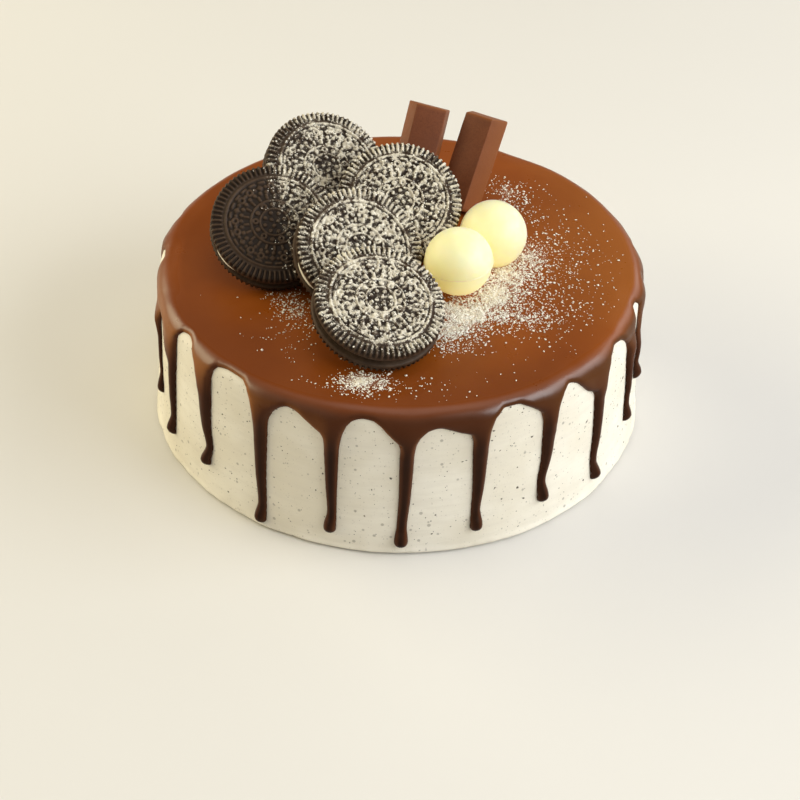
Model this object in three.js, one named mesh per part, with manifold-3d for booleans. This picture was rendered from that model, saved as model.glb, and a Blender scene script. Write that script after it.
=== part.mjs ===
// Chocolate drip cake, in millimetres, +Z up, standing on z = 0.
// A round frosted cake under a poured chocolate glaze that runs down its side
// in drips. On top lie five sandwich cookies in an overlapping pile, two white
// chocolate balls and two chocolate bars that stand in the cake, leaning back.
import * as THREE from 'three';
import { mergeVertices } from 'three/addons/utils/BufferGeometryUtils.js';
import Module from 'manifold-3d';

const wasm = await Module();
wasm.setup();

// ---------------------------------------------------------------- dimensions
const CAKE_HEIGHT = 59.3;        // from the base to the top of the glaze
const R_BASE = 88.5;             // frosted side at the base
const R_TOP = 85.0;              // frosted side at the top
const GLAZE_THICK = 3.2;         // glaze on the top face
const CLEAR = 0.3;               // gap between pieces that touch
const RIM_ROUND = 3.6;           // outer rounding of the glazed rim
const SKIRT_ARC = 1.0;           // glaze over the side between two drips
const SKIRT_DRIP = 2.2;          // glaze over the side where a drip starts
const LIP_HIGH = 54.4;           // lower edge of the glaze between two drips
const LIP_LOW = 47.2;            // lower edge of the glaze next to a drip
const STEM_HALF = 2.15;          // half width of a drip's stem
const DROP_HALF = 2.75;          // half width of the drop at a drip's tip
const DRIP_PROUD = 2.3;          // how far a drip stands out

const COOKIE_R = 22.0;
const WAFER_THICK = 3.9;
const CREME_THICK = 2.2;
const CREME_R = 20.6;
const COOKIE_THICK = 2 * WAFER_THICK + CREME_THICK + 2 * CLEAR;

const BALL_R = 11.95;

const BAR_BASE = 15.2;           // width of a bar's base
const BAR_FACE = 11.0;           // width of its narrow face
const BAR_HEIGHT = 8.9;          // from its base to its narrow face
const BAR_LIP = 1.2;             // upright edge of its base
const BAR_END = 1.7;             // run of its slanted end
const BAR_LENGTH = 50.0;         // half of a broken finger

// Drips: angle round the cake in degrees, height of the tip, size factor.
const DRIPS = [
  [-163.7, 17.6, 0.92], [-152.9, 10.2, 0.96], [-137.4, 13.0, 1.0],
  [-120.8, 1.5, 1.02], [-103.8, 6.8, 1.08], [-88.0, 3.2, 1.05],
  [-71.4, 7.8, 1.08], [-54.6, 11.2, 1.02], [-37.5, 6.0, 0.98],
  [-22.6, 15.8, 0.92], [-13.4, 25.4, 0.9], [5.0, 11.5, 1.0],
  [20.2, 5.0, 1.04], [34.8, 17.5, 0.95], [50.3, 8.5, 1.03],
  [65.2, 13.5, 1.0], [79.6, 3.4, 1.05], [95.3, 21.0, 0.92],
  [110.2, 7.2, 1.03], [124.7, 14.8, 0.97], [140.1, 4.4, 1.05],
  [155.0, 18.8, 0.94], [169.5, 9.6, 1.0],
];

// Cookies: centre of the upper face, direction that the face leans to, tilt.
const COOKIES = {
  cookie_left: { at: [-43.24, -7.94, 78.96], toward: -75.5, tilt: 32.8, spin: 10 },
  cookie_back: { at: [-26.76, 25.72, 80.67], toward: -63.1, tilt: 34.8, spin: 40 },
  cookie_right: { at: [-0.38, 7.39, 79.2], toward: -82.3, tilt: 35.8, spin: 75 },
  cookie_middle: { at: [-13.26, -21.06, 78.49], toward: -63.4, tilt: 35.7, spin: 22 },
  cookie_front: { at: [-5.73, -49.41, 77.46], toward: -57.3, tilt: 21.8, spin: 55 },
};

// Bars: centre of the base where it passes the glaze, the axis, the way that
// the narrow face looks, and the length that stands out of the glaze.
const BARS = {
  chocolate_bar_left: { at: [1.4, 33.0], axis: [0.215, 0.576, 0.789], face: [0.107, -0.817, 0.567], out: 38.3 },
  chocolate_bar_right: { at: [22.2, 36.0], axis: [0.290, 0.506, 0.812], face: [-0.457, -0.672, 0.582], out: 33.6 },
};

// Balls: centre. The rear one is pressed into the glaze.
const BALLS = {
  white_ball_front: [20.15, -18.3, 71.4],
  white_ball_rear: [32.6, 2.4, 69.0],
};

// Dollop of ganache that the back cookie lies on.
const MOUND = { at: [-31.5, 36.0], radius: [17.5, 15.5], height: 22.0 };

// ----------------------------------------------------------------- materials
const colours = {
  frosting: new THREE.MeshStandardMaterial({ color: 0xe6dfd0, roughness: 0.75, metalness: 0 }),
  glaze: new THREE.MeshStandardMaterial({ color: 0x5a2a10, roughness: 0.3, metalness: 0 }),
  wafer: new THREE.MeshStandardMaterial({ color: 0x2b211d, roughness: 0.8, metalness: 0 }),
  creme: new THREE.MeshStandardMaterial({ color: 0xf0ead8, roughness: 0.7, metalness: 0 }),
  bar: new THREE.MeshStandardMaterial({ color: 0x6a3a24, roughness: 0.45, metalness: 0 }),
  white: new THREE.MeshStandardMaterial({ color: 0xf5ecb8, roughness: 0.4, metalness: 0 }),
};

// ------------------------------------------------------------------- helpers
const rad = (d) => (d * Math.PI) / 180;
const sideRadius = (z) => R_BASE + (R_TOP - R_BASE) * (z / CAKE_HEIGHT);

function solidOf(geometry, matrix) {
  let g = geometry.clone();
  if (matrix) g.applyMatrix4(matrix);
  for (const name of Object.keys(g.attributes)) if (name !== 'position') g.deleteAttribute(name);
  g = mergeVertices(g, 1e-4);
  const index = g.index.array;
  const keep = [];
  for (let i = 0; i < index.length; i += 3) {
    const [a, b, c] = [index[i], index[i + 1], index[i + 2]];
    if (a !== b && b !== c && a !== c) keep.push(a, b, c);
  }
  return new wasm.Manifold(new wasm.Mesh({
    numProp: 3,
    vertProperties: new Float32Array(g.attributes.position.array),
    triVerts: new Uint32Array(keep),
  }));
}

function geometryOf(solid) {
  const m = solid.getMesh();
  const pos = new Float32Array((m.vertProperties.length / m.numProp) * 3);
  for (let i = 0; i < pos.length / 3; i++) {
    for (let k = 0; k < 3; k++) pos[3 * i + k] = m.vertProperties[i * m.numProp + k];
  }
  const g = new THREE.BufferGeometry();
  g.setAttribute('position', new THREE.BufferAttribute(pos, 3));
  g.setIndex(new THREE.BufferAttribute(new Uint32Array(m.triVerts), 1));
  g.computeVertexNormals();
  return g;
}

function fromRings(rings, closeStart, closeEnd) {
  // rings of equal length, each an array of [x, y, z]; skinned one to the next
  const n = rings[0].length;
  const pos = [];
  const idx = [];
  for (const ring of rings) for (const p of ring) pos.push(...p);
  for (let r = 0; r + 1 < rings.length; r++) {
    for (let i = 0; i < n; i++) {
      const a = r * n + i;
      const b = r * n + ((i + 1) % n);
      idx.push(a, b, a + n, b, b + n, a + n);
    }
  }
  const cap = (r, centre, flip) => {
    const c = pos.length / 3;
    pos.push(...centre);
    for (let i = 0; i < n; i++) {
      const a = r * n + i;
      const b = r * n + ((i + 1) % n);
      if (flip) idx.push(c, b, a); else idx.push(c, a, b);
    }
  };
  if (closeStart) cap(0, closeStart, true);
  if (closeEnd) cap(rings.length - 1, closeEnd, false);
  const g = new THREE.BufferGeometry();
  g.setAttribute('position', new THREE.BufferAttribute(new Float32Array(pos), 3));
  g.setIndex(idx);
  return g;
}

function lathe(points, segments) {
  // a profile turned round the axis, laid over so that the axis is +Z
  const g = new THREE.LatheGeometry(points.map(([r, z]) => new THREE.Vector2(Math.max(r, 0), z)), segments);
  g.rotateX(Math.PI / 2);
  return g;
}

const group = new THREE.Group();

function put(name, geometry, material, parent = group) {
  const mesh = new THREE.Mesh(geometry, material);
  mesh.name = name;
  parent.add(mesh);
  return mesh;
}

// ------------------------------------------------------------------- cookies
function waferProfile(embossed) {
  // the embossed face is at z = 0 and the flat face at -WAFER_THICK
  const t = WAFER_THICK;
  const r = COOKIE_R;
  if (!embossed) return [[0, -t], [r - 0.9, -t], [r, -t + 1.0], [r, -0.9], [r - 0.8, 0], [0, 0]];
  // the field inside the ribbed rim is level with the tops of its relief
  return [
    [0, -t], [r - 0.9, -t], [r, -t + 1.0], [r, -1.3], [r - 0.7, -0.35],
    [0.8 * r, 0], [0, 0],
  ];
}

const cookieGroups = {};
for (const [name, c] of Object.entries(COOKIES)) {
  const g = new THREE.Group();
  g.position.set(...c.at);
  const lean = new THREE.Vector3(
    Math.sin(rad(c.tilt)) * Math.cos(rad(c.toward)),
    Math.sin(rad(c.tilt)) * Math.sin(rad(c.toward)),
    Math.cos(rad(c.tilt)),
  );
  g.quaternion.setFromUnitVectors(new THREE.Vector3(0, 0, 1), lean);
  g.quaternion.multiply(new THREE.Quaternion().setFromAxisAngle(new THREE.Vector3(0, 0, 1), rad(c.spin)));
  put(`${name}_top`, lathe(waferProfile(true), 24), colours.wafer, g);
  const creme = lathe([[0, -CREME_THICK], [CREME_R, -CREME_THICK], [CREME_R, 0], [0, 0]], 20);
  put(`${name}_creme`, creme, colours.creme, g).position.z = -WAFER_THICK - CLEAR;
  const base = put(`${name}_base`, lathe(waferProfile(false), 24), colours.wafer, g);
  base.rotation.x = Math.PI;
  base.position.z = -COOKIE_THICK;
  group.add(g);
  cookieGroups[name] = g;
}
group.updateMatrixWorld(true);

function cookieRoom(name) {
  // the cookie's outer shape, grown by the gap, where it lies
  const r = COOKIE_R + CLEAR;
  const t = COOKIE_THICK;
  const shape = lathe([[0, -t - CLEAR], [r - 0.8, -t - CLEAR], [r, -t + 0.8], [r, -0.8], [r - 0.8, CLEAR], [0, CLEAR]], 24);
  return solidOf(shape, cookieGroups[name].matrixWorld);
}

// ---------------------------------------------------------------------- bars
function barShape(grow, length) {
  // local frame: z along the bar, y from its base to its narrow face
  const w = BAR_BASE / 2 + grow;
  const f = BAR_FACE / 2 + grow;
  const h = BAR_HEIGHT + grow;
  const section = (inset, z) => [
    [-w + 0.5 * inset, -grow, z], [w - 0.5 * inset, -grow, z], [w - 0.5 * inset, BAR_LIP, z],
    [f - 0.6 * inset, h - 0.9, z - 0.8 * inset], [f - 0.8 - 0.6 * inset, h, z - inset],
    [-f + 0.8 + 0.6 * inset, h, z - inset], [-f + 0.6 * inset, h - 0.9, z - 0.8 * inset], [-w + 0.5 * inset, BAR_LIP, z],
  ];
  const top = length + grow;
  const low = -grow;
  const rings = [section(0, low), section(0, top - 0.6), section(BAR_END * 0.5, top)];
  const centre = (ring) => [0, h / 2, ring.reduce((s, p) => s + p[2], 0) / ring.length];
  return fromRings(rings, centre(rings[0]), centre(rings[2]));
}

function barMatrix(b) {
  const axis = new THREE.Vector3(...b.axis).normalize();
  const face = new THREE.Vector3(...b.face);
  face.addScaledVector(axis, -face.dot(axis)).normalize();
  const side = new THREE.Vector3().crossVectors(face, axis);
  const foot = new THREE.Vector3(b.at[0], b.at[1], CAKE_HEIGHT).addScaledVector(axis, b.out - BAR_LENGTH);
  return new THREE.Matrix4().makeBasis(side, face, axis).setPosition(foot);
}

for (const [name, b] of Object.entries(BARS)) {
  const mesh = put(name, barShape(0, BAR_LENGTH), colours.bar);
  mesh.applyMatrix4(barMatrix(b));
}

function barRoom(b) {
  return solidOf(barShape(CLEAR, BAR_LENGTH), barMatrix(b));
}

// --------------------------------------------------------------------- balls
function ballShape(radius, below) {
  // a ball, flat at the given depth below its centre
  const start = Math.acos(Math.min(1, below / radius));
  const rows = 10;
  const points = [[0, -radius * Math.cos(start)]];
  for (let i = start > 0 ? 0 : 1; i < rows; i++) {
    const a = start + ((Math.PI - start) * i) / rows;
    points.push([radius * Math.sin(a), -radius * Math.cos(a)]);
  }
  points.push([0, radius]);
  return lathe(points, 20);
}

for (const [name, at] of Object.entries(BALLS)) {
  const mesh = put(name, ballShape(BALL_R, name.endsWith('rear') ? BALL_R : at[2] - CAKE_HEIGHT - CLEAR), colours.white);
  mesh.position.set(...at);
}

function ballRoom(at) {
  const r = BALL_R + CLEAR + 0.15;
  return solidOf(ballShape(r, r), new THREE.Matrix4().makeTranslation(...at));
}

// ----------------------------------------------------------------- cake body
{
  const H = CAKE_HEIGHT - GLAZE_THICK - CLEAR;
  const points = [
    [0, 0], [R_BASE - 0.9, 0], [R_BASE - 0.1, 0.9], [sideRadius(28), 28],
    [sideRadius(H - 1.8), H - 1.8], [sideRadius(H) - 1.8, H], [0, H],
  ];
  let cake = solidOf(lathe(points, 72));
  for (const b of Object.values(BARS)) cake = cake.subtract(barRoom(b));
  put('frosted_cake', geometryOf(cake), colours.frosting);
}

// --------------------------------------------------------------------- glaze
function dripShape(angle, tip, size) {
  // a stem that hangs from the rim, with a rounded drop at its tip
  const radial = new THREE.Vector3(Math.cos(rad(angle)), Math.sin(rad(angle)), 0);
  const along = new THREE.Vector3(-radial.y, radial.x, 0);
  const stem = STEM_HALF * size;
  const drop = DROP_HALF * size;
  const rows = [
    [tip, 1.0 * size, 0.9], [tip + 1.6, 0.86 * drop, 2.0], [tip + 4.4, drop, DRIP_PROUD],
    [tip + 10.0, stem, DRIP_PROUD * 0.8], [LIP_LOW - 2.5, stem * 1.1, DRIP_PROUD * 0.84],
    [LIP_LOW + 4.5, stem * 2.2, SKIRT_DRIP],
  ];
  const rings = rows.map(([z, half, proud]) => {
    const back = sideRadius(z) + CLEAR + 0.1;
    const ring = [];
    for (let k = 0; k < 5; k++) {
      const a = (Math.PI * k) / 4;
      const u = half * Math.cos(a);
      const out = back + proud * Math.pow(Math.sin(a), 0.8) - (u * u) / (2 * back);
      ring.push([radial.x * out + along.x * u, radial.y * out + along.y * u, z]);
    }
    return ring.reverse();
  });
  const mid = (ring) => [0, 1, 2].map((k) => ring.reduce((s, p) => s + p[k], 0) / ring.length);
  const start = mid(rings[0]);
  const end = mid(rings[rings.length - 1]);
  return fromRings(rings, start, end);
}

{
  // columns round the cake: one at each drip and four between two drips
  const sorted = DRIPS.map((d) => d[0]).sort((a, b) => a - b);
  const columns = [];
  for (let i = 0; i < sorted.length; i++) {
    const a = sorted[i];
    const b = i + 1 < sorted.length ? sorted[i + 1] : sorted[0] + 360;
    const wide = b - a;
    const near = Math.min(3.4 / wide, 0.3);
    for (const u of [0, near, 0.5 * (near + 0.5), 0.5 + 0.25 * (0.5 - near), 1 - near]) {
      const fall = Math.pow(Math.abs(2 * u - 1), 2.6);
      const shallow = Math.min(1, wide / 14);
      const lip = LIP_HIGH + (LIP_LOW - LIP_HIGH) * (fall * shallow + (1 - shallow) * 0.8);
      const skirt = SKIRT_ARC + (SKIRT_DRIP - SKIRT_ARC) * Math.pow(Math.abs(2 * u - 1), 2);
      columns.push({ angle: a + wide * u, lip, skirt });
    }
  }
  const H = CAKE_HEIGHT;
  const under = H - GLAZE_THICK;
  const profile = ({ lip, skirt }) => {
    const rim = sideRadius(H - RIM_ROUND) + CLEAR + skirt;
    const low = Math.min(lip, H - RIM_ROUND - 0.8);
    const p = [[rim - RIM_ROUND, H]];
    for (const a of [30, 62, 90]) p.push([rim - RIM_ROUND + RIM_ROUND * Math.sin(rad(a)), H - RIM_ROUND + RIM_ROUND * Math.cos(rad(a))]);
    p.push([sideRadius(low + 0.8) + CLEAR + skirt * 0.92, low + 0.6]);
    p.push([sideRadius(low) + CLEAR + skirt * 0.5, low]);
    p.push([sideRadius(low) + CLEAR, low + 0.25]);
    p.push([sideRadius(55.1) + CLEAR, Math.max(55.1, low + 0.45)], [sideRadius(56) - 0.9 + CLEAR, under]);
    return p;
  };
  const profiles = columns.map(profile);
  const rings = profiles[0].map((_, k) => columns.map(({ angle }, j) => {
    const [r, z] = profiles[j][k];
    return [r * Math.cos(rad(angle)), r * Math.sin(rad(angle)), z];
  }));
  // the rings run from the middle of the top, over the rim, to the underside
  const cap = fromRings(rings.map((r) => r.slice().reverse()), [0, 0, H], [0, 0, under]);
  let glaze = solidOf(cap);
  const drips = DRIPS.map(([angle, tip, size]) => solidOf(dripShape(angle, tip, size)));
  glaze = wasm.Manifold.union([glaze, ...drips]);
  // no voids are left where a drip meets the skirt: only the outer skin is kept
  const shells = glaze.decompose();
  glaze = shells.reduce((best, s) => (s.volume() > best.volume() ? s : best));
  for (const name of Object.keys(COOKIES)) glaze = glaze.subtract(cookieRoom(name));
  for (const b of Object.values(BARS)) glaze = glaze.subtract(barRoom(b));
  glaze = glaze.subtract(ballRoom(BALLS.white_ball_rear));
  put('chocolate_glaze', geometryOf(glaze), colours.glaze);
}

// --------------------------------------------------------------------- mound
{
  const [rx, ry] = MOUND.radius;
  const points = [[0, 0], [0.97, 0], [1.0, 0.07], [0.93, 0.3], [0.78, 0.58], [0.55, 0.83], [0.28, 0.96], [0, 1.0]];
  const shape = lathe(points, 20);
  shape.scale(rx, ry, MOUND.height);
  shape.translate(MOUND.at[0], MOUND.at[1], CAKE_HEIGHT + CLEAR);
  let mound = solidOf(shape);
  for (const name of Object.keys(COOKIES)) mound = mound.subtract(cookieRoom(name));
  put('ganache_mound', geometryOf(mound), colours.glaze);
}

// The origin is under the middle of the outline.
group.updateMatrixWorld(true);
const box = new THREE.Box3().setFromObject(group, true);
const middle = box.getCenter(new THREE.Vector3());
group.position.set(-middle.x, -middle.y, -box.min.z);
group.updateMatrixWorld(true);

export default group;
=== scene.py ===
import math

import bpy
import numpy as np
from mathutils import Matrix, Vector
from mathutils.kdtree import KDTree


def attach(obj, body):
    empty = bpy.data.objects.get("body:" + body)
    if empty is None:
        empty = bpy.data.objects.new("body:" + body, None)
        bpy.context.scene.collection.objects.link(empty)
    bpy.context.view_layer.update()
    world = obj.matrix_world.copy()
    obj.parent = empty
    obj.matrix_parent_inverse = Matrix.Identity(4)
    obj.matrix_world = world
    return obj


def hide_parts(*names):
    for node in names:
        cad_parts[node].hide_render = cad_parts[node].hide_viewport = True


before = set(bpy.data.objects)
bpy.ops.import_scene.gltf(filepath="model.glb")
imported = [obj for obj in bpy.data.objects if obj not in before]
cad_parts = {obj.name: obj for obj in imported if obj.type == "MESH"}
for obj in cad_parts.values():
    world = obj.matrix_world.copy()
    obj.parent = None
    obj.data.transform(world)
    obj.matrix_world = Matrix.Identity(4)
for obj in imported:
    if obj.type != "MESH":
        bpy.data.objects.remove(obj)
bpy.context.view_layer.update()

# Lengths in this script are millimetres, in the frame of the part; build() turns them into metres.
SHIFT = np.array([0.034, 0.006, 0.0])      # the part's origin, seen from the cake's axis
TAU = 2 * math.pi
rng = np.random.default_rng(20251)

# Where fine sugar dims the glaze: middle, reach along and across, turn in degrees, strength.
FILM = [
    ((24, -33), (8.0, 4.6), 50, 0.95), ((33, -21), (7.5, 5.2), 55, 0.92), ((37.0, -8), (5.0, 6.6), 0, 0.84), ((19, -29), (5.0, 3.4), 0, 0.84),
    ((45, 2), (6.5, 5.5), 20, 0.64), ((17, -41), (6.0, 4.4), 20, 0.82), ((-11.5, -69.8), (4.8, 3.0), 5, 0.84),
    ((-34, -33), (4.2, 5.5), 20, 0.50), ((-7, -70.5), (5.0, 2.6), 12, 0.58), ((40, 44), (4.2, 5.0), 25, 0.54),
]


# ------------------------------------------------------------------ small tools
def build(name, verts, faces, material, replaces=(), flat=None, attributes=None):
    """A mesh object from vertices in mm and a list of faces (arrays of 3 or 4 columns)."""
    verts = (np.asarray(verts, float) + SHIFT) * 0.001
    groups = [np.asarray(f, np.int64) for f in faces if len(f)]
    me = bpy.data.meshes.new(name)
    me.vertices.add(len(verts))
    me.vertices.foreach_set("co", verts.astype(np.float32).ravel())
    loops = np.concatenate([g.ravel() for g in groups])
    totals = np.concatenate([np.full(len(g), g.shape[1]) for g in groups])
    starts = np.concatenate([[0], np.cumsum(totals)[:-1]])
    me.loops.add(len(loops))
    me.loops.foreach_set("vertex_index", loops.astype(np.int32))
    me.polygons.add(len(totals))
    me.polygons.foreach_set("loop_start", starts.astype(np.int32))
    smooth = np.ones(len(totals), bool)
    if flat is not None:
        at = 0
        for g, is_flat in zip(groups, flat):
            smooth[at:at + len(g)] = not is_flat
            at += len(g)
    me.update(calc_edges=True)
    me.polygons.foreach_set("use_smooth", smooth)
    for key, values in (attributes or {}).items():
        a = me.attributes.new(key, "FLOAT", "POINT")
        a.data.foreach_set("value", np.asarray(values, np.float32))
    me.validate()
    me.update()
    ob = bpy.data.objects.new(name, me)
    bpy.context.scene.collection.objects.link(ob)
    me.materials.append(material)
    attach(ob, "root")
    if replaces:
        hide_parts(*replaces)
    return ob


def cell(ix, iy, iz, seed):
    h = (ix * 374761393 + iy * 668265263 + iz * 1442695041 + seed * 1274126177) & 0xFFFFFFFF
    h = ((h ^ (h >> 13)) * 1274126177) & 0xFFFFFFFF
    h = h ^ (h >> 16)
    return (h & 0xFFFFFF) / float(0xFFFFFF)


def noise(p, size, seed=0, octaves=1):
    """Smooth noise from -1 to 1 at the points p; size is one cell, a number or one for each axis."""
    total, weight, amount = 0.0, 0.0, 1.0
    for o in range(octaves):
        q = np.asarray(p, float) / (np.asarray(size, float) / 2 ** o)
        i = np.floor(q).astype(np.int64)
        f = q - i
        f = f * f * f * (f * (f * 6 - 15) + 10)
        value = 0.0
        for dx in (0, 1):
            for dy in (0, 1):
                for dz in (0, 1):
                    w = ((f[..., 0] if dx else 1 - f[..., 0]) * (f[..., 1] if dy else 1 - f[..., 1])
                         * (f[..., 2] if dz else 1 - f[..., 2]))
                    value = value + w * cell(i[..., 0] + dx, i[..., 1] + dy, i[..., 2] + dz, seed + 17 * o)
        total = total + amount * (2 * value - 1)
        weight += amount
        amount *= 0.5
    return total / weight


def smooth(a, b, x):
    t = np.clip((np.asarray(x, float) - a) / (b - a), 0, 1)
    return t * t * (3 - 2 * t)


def curve(xs, ys):
    """A monotone cubic through the points, as a function."""
    x, y = np.asarray(xs, float), np.asarray(ys, float)
    h = np.diff(x)
    d = np.diff(y) / h
    m = np.zeros(len(x))
    if len(x) == 2:
        m[:] = d[0]
    else:
        for i in range(1, len(x) - 1):
            if d[i - 1] * d[i] > 0:
                w1, w2 = 2 * h[i] + h[i - 1], h[i] + 2 * h[i - 1]
                m[i] = (w1 + w2) / (w1 / d[i - 1] + w2 / d[i])
        m[0], m[-1] = d[0], d[-1]

    def at(q):
        q = np.clip(np.asarray(q, float), x[0], x[-1])
        i = np.clip(np.searchsorted(x, q) - 1, 0, len(h) - 1)
        t = (q - x[i]) / h[i]
        return ((2 * t**3 - 3 * t**2 + 1) * y[i] + (t**3 - 2 * t**2 + t) * h[i] * m[i]
                + (-2 * t**3 + 3 * t**2) * y[i + 1] + (t**3 - t**2) * h[i] * m[i + 1])
    return at


def ring_quads(a, b, n, closed=True):
    """Quads between two rings of n vertices that start at a and b; b lies to the left of a's direction."""
    i = np.arange(n if closed else n - 1)
    j = (i + 1) % n
    return np.stack([a + i, a + j, b + j, b + i], 1)


def bridge(ia, ta, ib, tb):
    """Triangles between two closed rings with different counts, both sorted by angle ta, tb in [0, TAU)."""
    ia, ib = list(ia), list(ib)
    na, nb = len(ia), len(ib)
    i = j = 0
    out = []
    while i < na or j < nb:
        next_a = ta[i + 1] if i + 1 < na else ta[0] + TAU
        next_b = tb[j + 1] if j + 1 < nb else tb[0] + TAU
        if j >= nb or (i < na and next_a <= next_b):
            out.append((ia[i % na], ia[(i + 1) % na], ib[j % nb]))
            i += 1
        else:
            out.append((ia[i % na], ib[(j + 1) % nb], ib[j % nb]))
            j += 1
    return np.array(out)


# -------------------------------------------------------------- material helpers
class Nodes:
    def __init__(self, name):
        self.material = bpy.data.materials.new(name)
        self.material.use_nodes = True
        self.tree = self.material.node_tree
        self.bsdf = self.tree.nodes["Principled BSDF"]
        self.coords = self.add("ShaderNodeTexCoord").outputs["Object"]

    def add(self, kind, **settings):
        n = self.tree.nodes.new(kind)
        for k, v in settings.items():
            setattr(n, k, v)
        return n

    def link(self, a, b):
        self.tree.links.new(a, b)

    def put(self, socket, value):
        if isinstance(value, bpy.types.NodeSocket):
            self.link(value, socket)
        else:
            socket.default_value = value

    def set(self, **values):
        for k, v in values.items():
            self.put(self.bsdf.inputs[k.replace("_", " ")], v)

    def stretched(self, sx, sy, sz):
        n = self.add("ShaderNodeMapping")
        self.link(self.coords, n.inputs["Vector"])
        n.inputs["Scale"].default_value = (sx, sy, sz)
        return n.outputs["Vector"]

    def noise(self, size_mm, detail=2.0, rough=0.5, vector=None, scale=None, distortion=0.0):
        n = self.add("ShaderNodeTexNoise")
        self.link(vector or self.coords, n.inputs["Vector"])
        n.inputs["Scale"].default_value = scale if scale is not None else 1000.0 / size_mm
        n.inputs["Detail"].default_value = detail
        n.inputs["Roughness"].default_value = rough
        n.inputs["Distortion"].default_value = distortion
        return n.outputs["Fac"]

    def cells(self, size_mm, randomness=1.0):
        n = self.add("ShaderNodeTexVoronoi")
        self.link(self.coords, n.inputs["Vector"])
        n.inputs["Scale"].default_value = 1000.0 / size_mm
        n.inputs["Randomness"].default_value = randomness
        return n.outputs["Distance"], n.outputs["Color"]

    def math(self, op, a, b=None, clamp=False):
        n = self.add("ShaderNodeMath", operation=op, use_clamp=clamp)
        self.put(n.inputs[0], a)
        if b is not None:
            self.put(n.inputs[1], b)
        return n.outputs[0]

    def span(self, value, a, b, lo=0.0, hi=1.0, smoothly=True):
        n = self.add("ShaderNodeMapRange", interpolation_type="SMOOTHSTEP" if smoothly else "LINEAR")
        self.put(n.inputs["Value"], value)
        self.put(n.inputs["From Min"], a)
        self.put(n.inputs["From Max"], b)
        self.put(n.inputs["To Min"], lo)
        self.put(n.inputs["To Max"], hi)
        return n.outputs["Result"]

    def mix(self, factor, a, b, blend="MIX"):
        n = self.add("ShaderNodeMix", data_type="RGBA", blend_type=blend)
        self.put(n.inputs["Factor"], factor)
        for socket, v in ((n.inputs[6], a), (n.inputs[7], b)):
            self.put(socket, v if isinstance(v, bpy.types.NodeSocket) else (*v, 1.0))
        return n.outputs[2]

    def split(self, colour):
        n = self.add("ShaderNodeSeparateColor")
        self.link(colour, n.inputs[0])
        return n.outputs

    def axis(self, vector, k):
        n = self.add("ShaderNodeSeparateXYZ")
        self.link(vector, n.inputs[0])
        return n.outputs[k]

    def attribute(self, name):
        n = self.add("ShaderNodeAttribute", attribute_name=name)
        return n.outputs["Fac"]

    def bump(self, height, strength, distance_mm, before=None):
        n = self.add("ShaderNodeBump")
        n.inputs["Strength"].default_value = strength
        n.inputs["Distance"].default_value = distance_mm * 0.001
        self.link(height, n.inputs["Height"])
        if before is not None:
            self.link(before, n.inputs["Normal"])
        return n.outputs["Normal"]


def frosting_material():
    m = Nodes("frosting_spread")
    patch = m.noise(24.0, 3.0, 0.55)
    base = m.mix(m.span(patch, 0.32, 0.68), (0.78, 0.725, 0.60), (0.87, 0.825, 0.715))
    streak = m.noise(1, 3.0, 0.6, m.stretched(60, 60, 420), 1.0)
    base = m.mix(m.span(streak, 0.40, 0.72, 0.0, 0.26), base, (0.68, 0.63, 0.53))
    for size, share, r0, r1, blur, amount in ((3.1, 0.66, 0.05, 0.16, 0.10, 0.46), (1.6, 0.74, 0.06, 0.16, 0.13, 0.38),
                                              (0.9, 0.70, 0.08, 0.16, 0.16, 0.22)):
        distance, colour = m.cells(size)
        r, g, b = m.split(colour)
        radius = m.span(g, 0.0, 1.0, r0, r1, False)
        spot = m.span(distance, radius, m.math("ADD", radius, blur), 1.0, 0.0)
        spot = m.math("MULTIPLY", spot, m.span(r, share, share + 0.12))
        base = m.mix(m.math("MULTIPLY", spot, amount), base, (0.13, 0.105, 0.075))
    m.set(Base_Color=base, Roughness=m.span(patch, 0.2, 0.8, 0.5, 0.66, False))
    m.bsdf.inputs["Specular IOR Level"].default_value = 0.35
    n1 = m.bump(streak, 0.35, 0.25)
    n2 = m.bump(m.noise(2.6, 4.0, 0.6), 0.25, 0.25, n1)
    m.link(n2, m.bsdf.inputs["Normal"])
    return m.material


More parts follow.
